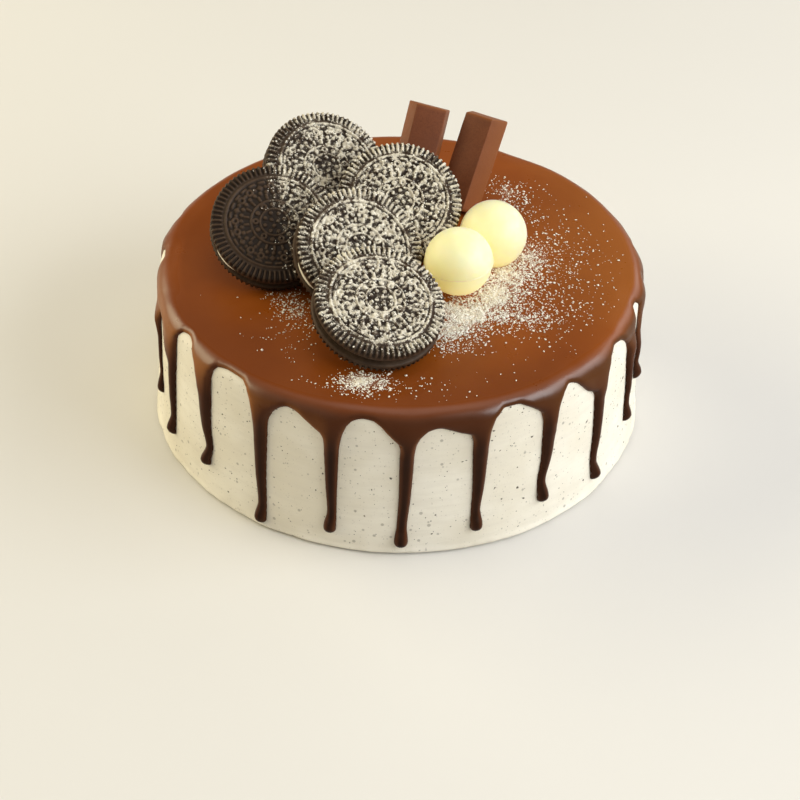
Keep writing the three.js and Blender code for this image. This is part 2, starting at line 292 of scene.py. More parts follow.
def glaze_material(name="chocolate_glaze_poured"):
    m = Nodes(name)
    facing = m.add("ShaderNodeTexCoord").outputs["Normal"]
    up = m.axis(facing, 2)
    height = m.axis(m.coords, 2)
    thin = m.attribute("thin")
    # painted light: faces that look up near the top take the bright top colour, as if lit from above, and the sides
    # keep darker, shaded colours
    level = m.math("MULTIPLY", m.span(up, 0.30, 0.985), m.span(height, 0.0540, 0.0590))
    cloud = m.noise(26.0, 3.0, 0.5)
    top = m.mix(m.span(cloud, 0.3, 0.72), (0.244, 0.0560, 0.0046), (0.282, 0.0690, 0.0066))
    x, y = m.axis(m.coords, 0), m.axis(m.coords, 1)
    # painted light: the top face is paler towards the right, as if lit from there
    painted_right_light = m.math("MULTIPLY", m.span(m.math("ADD", x, m.math("MULTIPLY", cloud, 0.03)), 0.050, 0.095, 0.0, 0.8),
                  m.math("MULTIPLY", m.span(y, -0.052, -0.018), m.span(up, 0.93, 0.99)))
    top = m.mix(painted_right_light, top, (0.300, 0.0910, 0.0125))
    # painted shade: the top face darkens towards the rim, most at the front and not at all on the right
    reach = m.math("SQRT", m.math("ADD", m.math("MULTIPLY", x, x), m.math("MULTIPLY", y, y)))
    reach = m.math("ADD", reach, m.math("MULTIPLY", m.math("SUBTRACT", m.noise(17.0, 2.0, 0.5), 0.5), 0.010))
    edge = m.math("MULTIPLY", m.span(reach, 0.052, 0.083, 0.0, 0.66), m.span(x, 0.080, 0.045))
    top = m.mix(m.math("MULTIPLY", edge, m.span(y, 0.0, -0.045, 0.20, 1.0)), top, (0.128, 0.0290, 0.0045))
    low = m.mix(m.span(m.noise(9.0, 2.0, 0.5), 0.3, 0.7), (0.0190, 0.0060, 0.0022), (0.0275, 0.0088, 0.0032))
    # painted shade: the core colour of the sides grows darker further down
    core = m.mix(m.span(height, 0.0400, 0.0545), low, (0.0740, 0.0220, 0.0074))
    # painted light: the flanks that look sideways are lighter, as if lit from the sides, less so lower down; the thin
    # edges of the drips are lighter too
    sideways = m.math("ABSOLUTE", m.axis(facing, 0))
    side_light_and_thin_edge = m.span(sideways, 0.22, 0.80, 0.0, 0.9)
    side_light_and_thin_edge = m.math("MULTIPLY", side_light_and_thin_edge, m.span(height, 0.0360, 0.0540, 0.34, 1.0))
    side_light_and_thin_edge = m.math("ADD", side_light_and_thin_edge, m.math("MULTIPLY", thin, 0.16), True)
    # painted light and shade: upper flanks facing left take a lit brown, while those facing right and those at the back
    # take a darker, shaded brown
    painted_flank_light = m.mix(m.span(m.axis(facing, 0), -0.3, 0.3), (0.290, 0.1080, 0.0290), (0.090, 0.0300, 0.0060))
    painted_flank_light = m.mix(m.span(y, -0.030, 0.020, 0.0, 0.8), painted_flank_light, (0.110, 0.0330, 0.0075))
    side = m.mix(side_light_and_thin_edge, core, m.mix(m.span(height, 0.0400, 0.0560), (0.120, 0.0345, 0.0100), painted_flank_light))
    brown = m.mix(level, side, top)
    # a film of fine sugar on the top face
    film = None
    for (cx, cy), (sx, sy), turn, amount in FILM:
        n = m.add("ShaderNodeMapping", vector_type="TEXTURE")
        m.link(m.coords, n.inputs["Vector"])
        n.inputs["Location"].default_value = ((cx + SHIFT[0]) * 0.001, (cy + SHIFT[1]) * 0.001, 0)
        n.inputs["Rotation"].default_value = (0, 0, math.radians(turn))
        n.inputs["Scale"].default_value = (sx * 0.001, sy * 0.001, 1)
        u, v = m.axis(n.outputs["Vector"], 0), m.axis(n.outputs["Vector"], 1)
        d2 = m.math("ADD", m.math("MULTIPLY", u, u), m.math("MULTIPLY", v, v))
        g = m.math("MULTIPLY", m.math("POWER", 2.71828, m.math("MULTIPLY", d2, -0.5)), amount)
        film = g if film is None else m.math("MAXIMUM", film, g)
    gate = m.math("ADD", film, m.math("MULTIPLY", m.math("SUBTRACT", m.noise(0.45, 3.0, 0.7), 0.5), 1.5))
    gate = m.math("ADD", gate, m.math("MULTIPLY", m.math("SUBTRACT", m.noise(1.7, 2.0, 0.5), 0.5), 0.9))
    powder = m.math("MULTIPLY", m.span(gate, 0.50, 0.92), m.span(film, 0.02, 0.12))
    powder = m.math("MULTIPLY", powder, m.span(up, 0.9, 0.98))
    m.set(Base_Color=m.mix(powder, brown, (0.88, 0.81, 0.66)))
    sheen = m.span(m.noise(7.0, 3.0, 0.6), 0.3, 0.7, 0.27, 0.36, False)
    m.set(Roughness=m.span(powder, 0.0, 1.0, sheen, 0.9, False))
    shoulder = m.math("MULTIPLY", m.span(up, 0.22, 0.66), m.span(up, 0.995, 0.92, 0.36, 1.0))
    shoulder = m.math("MULTIPLY", shoulder, m.span(sideways, 0.42, 0.72, 1.0, 0.34))
    shoulder = m.math("MULTIPLY", shoulder, m.span(m.axis(facing, 0), 0.34, 0.62, 1.0, 0.50))
    behind = m.math("MULTIPLY", m.span(y, -0.010, 0.030), m.span(x, 0.0, -0.040))
    shoulder = m.math("MULTIPLY", shoulder, m.math("SUBTRACT", 1.0, m.math("MULTIPLY", behind, 0.6)))
    shoulder = m.math("MULTIPLY", shoulder, m.span(m.math("ADD", sideways, m.span(up, 0.985, 1.0)), 0.06, 0.40, 0.50, 1.0))
    m.put(m.bsdf.inputs["Specular IOR Level"], m.span(shoulder, 0.0, 1.0, 0.07, 0.66, False))
    wave = m.bump(m.noise(11.0, 2.0, 0.4), 0.12, 0.6)
    grain = m.bump(m.noise(0.7, 2.0, 0.5), 0.05, 0.08, wave)
    m.link(m.bump(powder, 0.5, 0.12, grain), m.bsdf.inputs["Normal"])
    return m.material


def wafer_material():
    m = Nodes("wafer_dark_baked")
    dust, painted_hollow_shade = m.attribute("dust"), m.attribute("painted_hollow_shade")
    tone = m.noise(3.0, 4.0, 0.6)
    base = m.mix(m.span(tone, 0.3, 0.7), (0.050, 0.0285, 0.0155), (0.080, 0.0470, 0.0265))
    # painted shade: hollows of the emboss and the grooves are darkened towards near-black
    base = m.mix(m.math("MULTIPLY", painted_hollow_shade, 0.84), base, (0.0125, 0.0072, 0.0042))
    haze = m.math("MULTIPLY", m.span(dust, 0.05, 0.6, 0.0, 0.20), m.span(m.noise(0.5, 3.0, 0.7), 0.35, 0.7))
    base = m.mix(haze, base, (0.62, 0.53, 0.40))
    specks = m.noise(0.34, 3.0, 0.7)
    clumps = m.noise(0.80, 2.0, 0.5)
    amount = m.math("ADD", dust, m.math("MULTIPLY", m.math("SUBTRACT", specks, 0.5), 1.3))
    amount = m.math("ADD", amount, m.math("MULTIPLY", m.math("SUBTRACT", clumps, 0.5), 1.2))
    powder = m.math("MULTIPLY", m.span(amount, 0.40, 0.74), m.span(dust, 0.02, 0.14))
    white = m.mix(m.span(m.noise(1.4, 2.0, 0.5), 0.3, 0.7), (0.56, 0.495, 0.375), (0.87, 0.815, 0.68))
    m.set(Base_Color=m.mix(powder, base, white))
    m.set(Roughness=m.span(powder, 0.0, 1.0, 0.56, 0.92, False))
    m.bsdf.inputs["Specular IOR Level"].default_value = 0.20
    pores = m.bump(m.noise(0.5, 4.0, 0.65), 0.35, 0.12)
    heap = m.bump(powder, 0.55, 0.16, pores)
    m.link(heap, m.bsdf.inputs["Normal"])
    return m.material


def creme_material():
    m = Nodes("creme_filling")
    tone = m.noise(2.0, 3.0, 0.6)
    m.set(Base_Color=m.mix(tone, (0.80, 0.75, 0.60), (0.88, 0.84, 0.72)), Roughness=m.span(tone, 0.2, 0.8, 0.5, 0.7, False))
    m.link(m.bump(m.noise(0.7, 4.0, 0.6), 0.4, 0.12), m.bsdf.inputs["Normal"])
    return m.material


def bar_material():
    m = Nodes("milk_chocolate_moulded")
    tone = m.noise(9.0, 4.0, 0.6)
    scuff = m.noise(1, 4.0, 0.7, m.stretched(900, 900, 90), 1.0)
    speck = m.noise(0.55, 4.0, 0.75)
    painted_bevel_light = m.attribute("painted_bevel_light")
    base = m.mix(m.span(tone, 0.3, 0.7), (0.150, 0.0430, 0.0150), (0.182, 0.0530, 0.0185))
    base = m.mix(m.span(speck, 0.30, 0.55, 0.55, 0.0), base, (0.078, 0.0235, 0.0095))
    base = m.mix(m.span(speck, 0.58, 0.78, 0.0, 0.45), base, (0.235, 0.095, 0.045))
    base = m.mix(m.span(scuff, 0.62, 0.8, 0.0, 0.18), base, (0.25, 0.11, 0.055))
    # painted light: the bevels, edges and end get a lighter orange-brown
    base = m.mix(m.math("MULTIPLY", painted_bevel_light, 0.85), base, (0.250, 0.080, 0.0200))
    m.set(Base_Color=base, Roughness=m.span(scuff, 0.3, 0.75, 0.42, 0.60, False))
    m.bsdf.inputs["Specular IOR Level"].default_value = 0.22
    m.link(m.bump(m.noise(1.6, 4.0, 0.6), 0.22, 0.15, m.bump(speck, 0.22, 0.10)), m.bsdf.inputs["Normal"])
    return m.material


def ball_material():
    m = Nodes("white_chocolate_moulded")
    tone = m.noise(8.0, 3.0, 0.55)
    scuff = m.noise(1.1, 5.0, 0.7)
    base = m.mix(m.span(tone, 0.3, 0.7), (0.93, 0.865, 0.50), (0.95, 0.895, 0.57))
    base = m.mix(m.span(scuff, 0.66, 0.82, 0.0, 0.30), base, (0.97, 0.94, 0.76))
    # painted light and shade: the underside and the left get a deeper yellow and a faint glow, which stand in for the
    # light that passes through the ball from above
    facing = m.add("ShaderNodeTexCoord").outputs["Normal"]
    painted_glow_side = m.math("ADD", m.math("MULTIPLY", m.axis(facing, 0), -0.52), m.math("MULTIPLY", m.axis(facing, 2), -0.85))
    painted_glow_side = m.span(painted_glow_side, -0.70, 0.62)
    base = m.mix(m.math("MULTIPLY", painted_glow_side, 0.8), base, (0.97, 0.86, 0.44))
    m.set(Emission_Color=m.mix(tone, (1.0, 0.72, 0.22), (1.0, 0.76, 0.26)), Emission_Strength=m.math("MULTIPLY", painted_glow_side, 0.33))
    m.set(Base_Color=base, Roughness=m.span(scuff, 0.3, 0.75, 0.32, 0.5, False))
    m.bsdf.inputs["Specular IOR Level"].default_value = 0.45
    m.bsdf.inputs["Subsurface Weight"].default_value = 0.9
    m.bsdf.inputs["Subsurface Radius"].default_value = (1.0, 0.88, 0.40)
    m.bsdf.inputs["Subsurface Scale"].default_value = 0.022
    m.link(m.bump(m.noise(2.4, 3.0, 0.6), 0.10, 0.12), m.bsdf.inputs["Normal"])
    return m.material


def sugar_material():
    m = Nodes("icing_sugar")
    tone = m.noise(2.2, 2.0, 0.5)
    m.set(Base_Color=m.mix(m.span(tone, 0.3, 0.7), (0.84, 0.79, 0.66), (0.95, 0.925, 0.84)), Roughness=m.span(tone, 0, 1, 0.8, 0.95, False))
    m.link(m.bump(m.noise(0.12, 2.0, 0.5), 0.4, 0.05), m.bsdf.inputs["Normal"])
    return m.material


def crumb_material():
    m = Nodes("dark_crumbs")
    tone = m.noise(0.6, 3.0, 0.6)
    m.set(Base_Color=m.mix(tone, (0.055, 0.046, 0.036), (0.19, 0.160, 0.120)), Roughness=m.span(tone, 0, 1, 0.7, 0.9, False))
    m.link(m.bump(m.noise(0.2, 2.0, 0.5), 0.4, 0.05), m.bsdf.inputs["Normal"])
    return m.material


def floor_material():
    m = Nodes("studio_floor")
    tone = m.noise(160.0, 2.0, 0.5)
    m.set(Base_Color=m.mix(tone, (0.73, 0.715, 0.685), (0.75, 0.735, 0.705)), Roughness=m.span(tone, 0, 1, 0.55, 0.65, False))
    m.bsdf.inputs["Specular IOR Level"].default_value = 0.2
    return m.material


MAT = {
    "frosting": frosting_material(), "glaze": glaze_material(), "wafer": wafer_material(), "creme": creme_material(),
    "bar": bar_material(), "ball": ball_material(), "sugar": sugar_material(), "crumb": crumb_material(),
}

# --------------------------------------------------------------- cake body shape
TOP = 59.3            # top of the glaze
ZF = 57.5             # top of the frosting, near its rim
RHO = 4.0             # rounding of the frosting's shoulder
TAPER = math.atan(3.5 / 59.3)
SWEEP = math.pi / 2 - TAPER
Z_E = ZF - RHO * (1 - math.cos(SWEEP))


def side_r(z):
    return 88.5 - 3.5 * np.asarray(z, float) / 59.3


R_C = float(side_r(Z_E)) - RHO * math.sin(SWEEP)
ARC = RHO * SWEEP


def profile(t):
    """Radius, height and outward direction on the frosting's skin, t mm out from where the shoulder begins."""
    t = np.asarray(t, float)
    a = np.clip(t / RHO, 0, SWEEP)
    r = R_C + RHO * np.sin(a) + np.minimum(t, 0)
    z = ZF - RHO * (1 - np.cos(a))
    below = np.maximum(t - ARC, 0)
    return r + below * math.sin(TAPER), z - below * math.cos(TAPER), np.sin(a), np.cos(a)


def t_of(z):
    z = np.asarray(z, float)
    on_arc = RHO * np.arccos(np.clip(1 - (ZF - z) / RHO, -1, 1))
    return np.where(z > Z_E, on_arc, ARC + (Z_E - z) / math.cos(TAPER))


def unevenness(theta, z):
    """How far the spread frosting stands out from its round shape, in mm."""
    p = np.stack([88 * np.cos(theta), 88 * np.sin(theta), np.asarray(z, float) + 0 * theta], -1)
    broad = 0.22 * noise(p, (34, 34, 26), 3) + 0.10 * noise(p, (16, 16, 7), 5)
    fine = 0.05 * noise(p, (18, 18, 2.4), 8) + 0.035 * noise(p, (9, 9, 1.3), 9)
    return (broad + fine) * smooth(58, 52, z)


# ------------------------------------------------------------------------ drips
# One row each: angle of the tip, height of the tip, size; then how far the stem
# has wandered, in degrees, at the neck and at the root.
DRIPS = [
    (-162.5, 17.4, 0.76, -0.3, -1.9), (-153.0, 9.8, 0.98, 0.5, 0.0), (-137.3, 12.8, 0.98, 1.0, -0.7),
    (-120.8, 1.6, 1.00, 0.4, -0.3), (-104.0, 6.5, 0.96, 0.4, 0.1), (-88.3, 3.0, 1.02, 0.1, 0.9),
    (-71.7, 7.3, 0.98, -0.2, 0.6), (-55.2, 10.9, 0.98, -0.4, 1.3), (-38.1, 5.9, 0.98, -0.8, 0.5),
    (-22.4, 15.2, 0.92, -0.4, 0.6), (-14.2, 25.0, 0.98, -0.2, 0.5), (5.0, 11.5, 1.0, 0.3, -0.3),
    (20.2, 5.0, 1.03, -0.3, 0.4), (34.8, 17.5, 0.95, 0.2, 0.5), (50.3, 8.5, 1.02, -0.2, -0.5),
    (65.2, 13.5, 1.0, 0.4, 0.2), (79.6, 3.4, 1.04, -0.3, 0.5), (95.3, 21.0, 0.92, 0.3, -0.4),
    (110.2, 7.2, 1.02, 0.1, 0.6), (124.7, 14.8, 0.97, -0.3, -0.3), (140.1, 4.4, 1.04, 0.4, 0.3),
    (155.0, 18.8, 0.94, -0.2, 0.4), (169.5, 9.6, 1.0, 0.2, -0.4),
]
FORK = 40.0           # height where a stem opens into its root

# The glaze's lower edge between two drips, as angle and height: down the left
# side, along the top from left to right, and down the right side.
ARCHES = {
    0: ([(-164.3, 46), (-164.2, 50.2)], [(-163.6, 51.4), (-161.4, 50.2)], [(-158.6, 46.6), (-156.2, 43)]),
    1: ([(-151.4, 50.6), (-150.6, 54.8)], [(-149.4, 56.7), (-147.3, 57.1), (-144.8, 56.5)], [(-143.0, 54.4), (-141.7, 51), (-140.6, 46)]),
    2: ([(-135.9, 50.3), (-135.4, 54.0)], [(-134.3, 56.1), (-130.9, 56.8), (-127.0, 56.6)], [(-125.1, 55.2), (-123.9, 51.3), (-123.2, 46.2)]),
    3: ([(-119.0, 46.3), (-117.9, 50.3)], [(-116.1, 53.0), (-114.3, 54.3), (-112.4, 53.8), (-110.2, 51.5), (-108.4, 49.5)], [(-106.6, 47.8), (-105.8, 45.6)]),
    4: ([(-101.7, 47.2), (-100.6, 51.9)], [(-99.3, 54.3), (-97.2, 55.3), (-95.0, 55.0), (-93.2, 53.1), (-91.5, 50.0)], [(-89.4, 46.6), (-88.9, 43.6)]),
    5: ([(-85.4, 45.5), (-84.4, 49.0)], [(-82.7, 51.3), (-80.5, 52.2), (-78.1, 51.0), (-75.9, 49.5)], [(-73.5, 48.2), (-72.9, 45.4)]),
    6: ([(-68.8, 48.0), (-67.6, 53.2)], [(-65.4, 55.6), (-62.3, 55.5), (-60.1, 53.9), (-57.9, 51.5)], [(-56.4, 49.4), (-55.8, 45.6)]),
    7: ([(-51.6, 48.5), (-50.1, 53.6)], [(-48.3, 55.2), (-46.4, 54.3), (-44.3, 51.2), (-42.2, 47.7)], [(-40.1, 45.5), (-39.4, 42.8)]),
    8: ([(-35.2, 48.3), (-33.5, 54.0)], [(-30.6, 55.8), (-27.7, 55.2), (-25.7, 53.2)], [(-24.2, 50.6), (-23.4, 46.5)]),
    9: ([(-19.2, 48.0), (-17.8, 53.0)], [(-16.5, 55.7), (-15.0, 56.6), (-13.2, 56.4)], [(-11.9, 54.6), (-13.2, 50.6), (-14.9, 46.0)]),
    10: ([(-12.0, 45.0), (-9.4, 49.8), (-4.8, 53.0)], [(-3.2, 54.6), (-1.4, 55.0), (0.2, 53.0)], [(1.5, 49.8), (2.6, 46.0)]),
    22: ([(172.0, 46.0), (173.0, 50.5)], [(174.4, 54.3), (176.2, 56.5), (179.4, 56.8), (181.8, 55.0), (184.6, 52.3), (188.4, 50.7)],
         [(191.0, 49.0), (193.6, 45.6)]),
}
EDGE = {  # half width of a stem at the fork, where it differs from the usual 2.5 mm
    0: 1.3, 1: 2.4, 2: 3.1, 3: 2.7, 4: 2.5, 5: 2.4, 6: 2.7, 7: 2.7, 8: 2.6, 9: 2.2, 10: 2.0,
}


def glaze_edges():
    """The edges of every drip as curves over height, and the arch tops as curves over angle."""
    wild = np.random.default_rng(77)
    n = len(DRIPS)
    roots = []
    for k, (a, tip, size, neck, root) in enumerate(DRIPS):
        half = EDGE.get(k, 2.5) / 86 * 180 / math.pi
        roots.append((a + root - half, a + root + half))
    arches = []
    for k in range(n):
        left = roots[k][1]
        right = roots[(k + 1) % n][0] + (360 if k == n - 1 else 0)
        if k in ARCHES:
            arches.append(ARCHES[k])
            continue
        w = right - left
        jl, jr = wild.uniform(50.5, 53.6), wild.uniform(47.6, 52.6)
        crown = max(jl, jr) + wild.uniform(1.6, 3.0)
        crown = min(crown, 57.0)
        u = wild.uniform(0.25, 0.5)
        al = min(0.14, 1.7 / w) * w
        ar = min(0.12, 1.4 / w) * w
        slump = wild.uniform(0.35, 0.65)
        arches.append(([(left + 0.28 * al, jl - 4.6), (left + al, jl)],
                       [(left + w * (al / w + 0.35 * (u - al / w)), jl + 0.72 * (crown - jl)), (left + w * u, crown),
                        (left + w * (u + 0.55 * (1 - ar / w - u)), jr + slump * (crown - jr))],
                       [(right - ar, jr), (right - 0.2 * ar, jr - 3.6)]))
    drips = []
    for k, (a, tip, size, neck, root) in enumerate(DRIPS):
        size_w = size
        wb, wn = 2.25 * size_w, 1.68 * size_w
        long = FORK - tip
        wf = EDGE.get(k, 2.5)
        bulb = 1.05 * wb
        s_n = min(9.0, 0.52 * long)
        s_m = s_n + 0.45 * (long - s_n)
        width = curve([bulb, bulb + 1.5, s_n, s_m, long], [wb, 0.97 * wb, wn, 0.5 * (wn + wf) * 0.97, wf])
        centre = curve([0, bulb, s_n, s_m, long], [a, a, a + neck, a + 0.35 * neck + 0.65 * root, a + root])
        left_arch, right_arch = arches[(k - 1) % n], arches[k]
        off = 360 if k == 0 else 0
        fl = [(x - off, z) for x, z in left_arch[2]][::-1]       # upwards from the fork
        fr = list(right_arch[0])
        cl = curve([FORK - 3] + [FORK] + [z for _, z in fl], [a + root - wf / 86 * 57.2958] * 2 + [x for x, _ in fl])
        cr = curve([FORK - 3] + [FORK] + [z for _, z in fr], [a + root + wf / 86 * 57.2958] * 2 + [x for x, _ in fr])
        drips.append({"tip": tip, "size": size, "bulb": bulb, "wb": wb, "wn": wn, "neck": s_n, "mid": s_m, "long": long,
                      "width": width, "centre": centre, "left": cl, "right": cr, "zl": fl[-1][1], "zr": fr[-1][1],
                      "al": fl[-1][0], "ar": fr[-1][0]})
    tops = []
    for k in range(n):
        d, e = drips[k], drips[(k + 1) % n]
        off = 360 if k == n - 1 else 0
        pts = [(d["ar"], d["zr"])] + list(arches[k][1]) + [(e["al"] + off, e["zl"])]
        tops.append((curve([p[0] for p in pts], [p[1] for p in pts]), pts[0][0], pts[-1][0]))
    return drips, tops


K = 15                # columns across a drip
M = 24                # columns inside an arch
LIFT = [0, 0.05, 0.15, 0.3, 0.5, 0.75, 1.08, 1.5, 2.0, 2.6]     # rows next to the edge, in mm
ROWS = 24


def make_glaze():
    drips, tops = glaze_edges()
    us = np.sin(np.linspace(-math.pi / 2, math.pi / 2, K))
    col_end, col_kind = [], []          # per upper column: (angle, height of its end)
    stems = []
    border = []
    for k, d in enumerate(drips):
        # stem rows from the tip up to the fork, then on to the top of the root
        s = [0.05, 0.2, 0.45, 0.8, 1.2, 1.7]
        while s[-1] < d["long"] - 1.0:
            s.append(s[-1] + min(1.15, 0.55 + 0.08 * len(s)))
        if d["long"] - s[-1] < 0.5:
            s.pop()
        s = np.array(s)
        w = np.where(s < d["bulb"], d["wb"] * np.sqrt(np.clip(1 - (1 - s / d["bulb"]) ** 2, 0, 1)), d["width"](s))
        c = d["centre"](s)
        half = w / 86 * 57.2958
        rows = [(c[i] + us * half[i], np.full(K, d["tip"] + s[i])) for i in range(len(s))]
        blend = (us + 1) / 2
        for v in np.linspace(0, 1, 9)[:-1]:
            zl = FORK + v * (d["zl"] - FORK)
            zr = FORK + v * (d["zr"] - FORK)
            al, ar = float(d["left"](zl)), float(d["right"](zr))
            rows.append((al + (ar - al) * blend, zl + (zr - zl) * blend))
        stems.append(rows)
        top_angles = d["al"] + (d["ar"] - d["al"]) * blend
        top_heights = d["zl"] + (d["zr"] - d["zl"]) * blend
        col_end += list(zip(top_angles, top_heights))
        col_kind += [k] * K
        top, a0, a1 = tops[k]
        u = np.arange(1, M + 1) / (M + 1)
        u = 0.55 * u + 0.45 * 0.5 * (1 - np.cos(math.pi * u))
        angles = a0 + (a1 - a0) * u
        col_end += list(zip(angles, top(angles)))
        col_kind += [-1] * M
        # the border, closely sampled
        sb = np.concatenate([np.linspace(0, d["bulb"], 30), np.arange(d["bulb"] + 0.1, d["long"], 0.15)])
        wb = np.where(sb < d["bulb"], d["wb"] * np.sqrt(np.clip(1 - (1 - sb / d["bulb"]) ** 2, 0, 1)), d["width"](sb))
        cb = d["centre"](sb)
        for sign in (-1, 1):
            border += list(zip(cb + sign * wb / 86 * 57.2958, d["tip"] + sb))
        for v in np.linspace(0, 1, 90):
            zl, zr = FORK + v * (d["zl"] - FORK), FORK + v * (d["zr"] - FORK)
            border.append((float(d["left"](zl)), zl))
            border.append((float(d["right"](zr)), zr))
        fine = np.linspace(a0, a1, 160)
        border += list(zip(fine, top(fine)))
    border = np.array(border)
    bs = np.stack([np.radians(border[:, 0]) * 86, t_of(border[:, 1])], 1)
    bs = np.concatenate([bs, bs + [TAU * 86, 0], bs - [TAU * 86, 0]])
    bs = bs[(bs[:, 0] > -3.4 * 86) & (bs[:, 0] < 3.6 * 86)]
    tree = KDTree(len(bs))
    for i, p in enumerate(bs):
        tree.insert((p[0], p[1], 0), i)
    tree.balance()

    col_end = np.array(col_end)
    ncol = len(col_end)
    t_end = t_of(col_end[:, 1])
    t_start = -8.0
    angle, t, stem_w = [], [], []
    lift = np.array(LIFT)
    for i in range(ROWS):
        if i < len(lift):
            tt = t_end - lift[i]
        else:
            q = (i - len(lift) + 1) / (ROWS - len(lift))
            tt = (t_end - lift[-1]) + (t_start - (t_end - lift[-1])) * q
        angle.append(col_end[:, 0])
        t.append(tt)
        stem_w.append(np.full(ncol, 2.2))
    n_upper = ncol * ROWS
    stem_start, stem_rows = [], []
    at = n_upper
    plateau_stem = [np.full(ncol, -1.0)] * ROWS
    for k, rows in enumerate(stems):
        d = drips[k]
        flat = 0.62 if k == 0 else 1.0
        stem_start.append(at)
        stem_rows.append(len(rows))
        for a, z in rows:
            s = z - d["tip"]
            angle.append(a)
            t.append(t_of(z))
            w = np.where(s < d["bulb"], d["wb"], d["width"](np.minimum(s, d["long"])))
            grow = smooth(d["long"] - 1, d["long"] + 7, s)
            stem_w.append(w * (1 - grow) + 2.4 * grow)
            h = curve([0, 0.5 * d["bulb"], 1.25 * d["bulb"], d["bulb"] + 2.2, d["neck"], d["mid"], d["long"] + 0.01],
                      [1.5 * d["size"], 2.2 * d["size"], 2.75 * d["size"], 2.5 * d["size"], 1.45 * flat, 1.85 * flat, 2.1 * flat])(s)
            plateau_stem.append(h)
            at += K
    tips = list(range(at, at + len(drips)))
    for k, d in enumerate(drips):
        angle.append(np.array([float(d["centre"](0))]))
        t.append(t_of(np.array([d["tip"]])))
        stem_w.append(np.array([1.0]))
        plateau_stem.append(np.array([0.0]))
    angle, t = np.concatenate(angle), np.concatenate(t)
    stem_w, plateau_stem = np.concatenate(stem_w), np.concatenate(plateau_stem)
    theta = np.radians(angle)
    found = [tree.find((theta[i] * 86, t[i], 0)) for i in range(len(t))]
    dist = np.array([f[2] for f in found])
    hits = [f[1] for f in found]
    # thickness where the edge is far: thin over the arches, thick where a drip starts
    centre_angles = np.array([d["ar"] * 0.5 + d["al"] * 0.5 for d in drips])
    near = np.min(np.abs((angle[:, None] - centre_angles[None, :] + 180) % 360 - 180), 1) * math.pi / 180 * 86
    swell = np.exp(-(near / 5.0) ** 2) * smooth(1.5, 11.0, t)
    r, z, nr, nz = profile(t)
    side = 1.40 + (2.55 - 1.40) * swell
    over = TOP - ZF
    down = smooth(-5.0, 3.4, t)
    p = np.stack([r * np.cos(theta), r * np.sin(theta), z], 1)
    wobble = 0.12 * noise(p, 24, 31) + 0.04 * noise(p, 9, 32)
    ripple = 0.34 * noise(p, 15, 33) * smooth(-4.0, 1.0, t) * smooth(9.0, 4.0, t)
    plateau = over * (1 - down) + side * down + wobble * down + ripple
    rooty = smooth(FORK - 1.0, FORK + 6.5, z)
    is_stem = plateau_stem >= 0
    plateau = np.where(is_stem, plateau_stem * (1 - rooty) + plateau * rooty, plateau)
    # the glaze ran thinner over two stretches of the side
    turn = angle % 360
    ease = 1 - 0.66 * smooth(170, 178, turn) * smooth(203, 194, turn) - 0.40 * smooth(331, 338, turn) * smooth(353, 347, turn)
    plateau = plateau * (1 - down + down * (1 - (1 - ease) * smooth(46, 52, z)))
    edge_w = np.where(is_stem, stem_w, 2.2)
    u = np.clip(dist / edge_w, 0, 1)
    # the glaze is lighter where it thins out to the sides of a drip
    sideways = np.abs(np.array([theta[i] * 86 - bs[hits[i]][0] for i in range(len(t))])) / np.maximum(dist, 0.05)
    thin = (1 - smooth(0.15, 0.85, u)) * smooth(0.55, 0.95, np.where(dist < 0.05, 1.0, sideways)) * smooth(56.0, 52.0, z)
    thick = plateau * np.sqrt(np.clip(1 - (1 - u) ** 2, 0, 1)) - 0.12 * (1 - np.clip(dist / 0.2, 0, 1))
    thick = thick + unevenness(theta, z)
    verts = np.stack([(r + nr * thick) * np.cos(theta), (r + nr * thick) * np.sin(theta), z + nz * thick], 1)
    # the top face: gently uneven
    top_rows = (t < 0)
    verts[top_rows, 2] += 0.10 * noise(verts[top_rows], (30, 30, 30), 41) * smooth(0, -6, t[top_rows])

    faces, flats = [], []

    def add(f, flat=False):
        faces.append(f)
        flats.append(flat)

    for i in range(ROWS - 1):
        add(ring_quads(i * ncol, (i + 1) * ncol, ncol))
    for k in range(len(drips)):
        start, rows = stem_start[k], stem_rows[k]
        for i in range(rows - 1):
            a = start + i * K + np.arange(K - 1)
            add(np.stack([a, a + 1, a + K + 1, a + K], 1))
        a = start + (rows - 1) * K + np.arange(K - 1)
        b = k * (K + M) + np.arange(K - 1)
        add(np.stack([a, a + 1, b + 1, b], 1))
        a = start + np.arange(K - 1)
        add(np.stack([np.full(K - 1, tips[k]), a + 1, a], 1))
        # the back of the stem lies against the frosting
        l = np.array([start + i * K for i in range(rows)] + [k * (K + M)])
        r_ = np.array([start + i * K + K - 1 for i in range(rows)] + [k * (K + M) + K - 1])
        add(np.stack([r_[:-1], l[:-1], l[1:], r_[1:]], 1), True)
        add(np.array([[tips[k], start, start + K - 1]]), True)

    verts = list(verts)
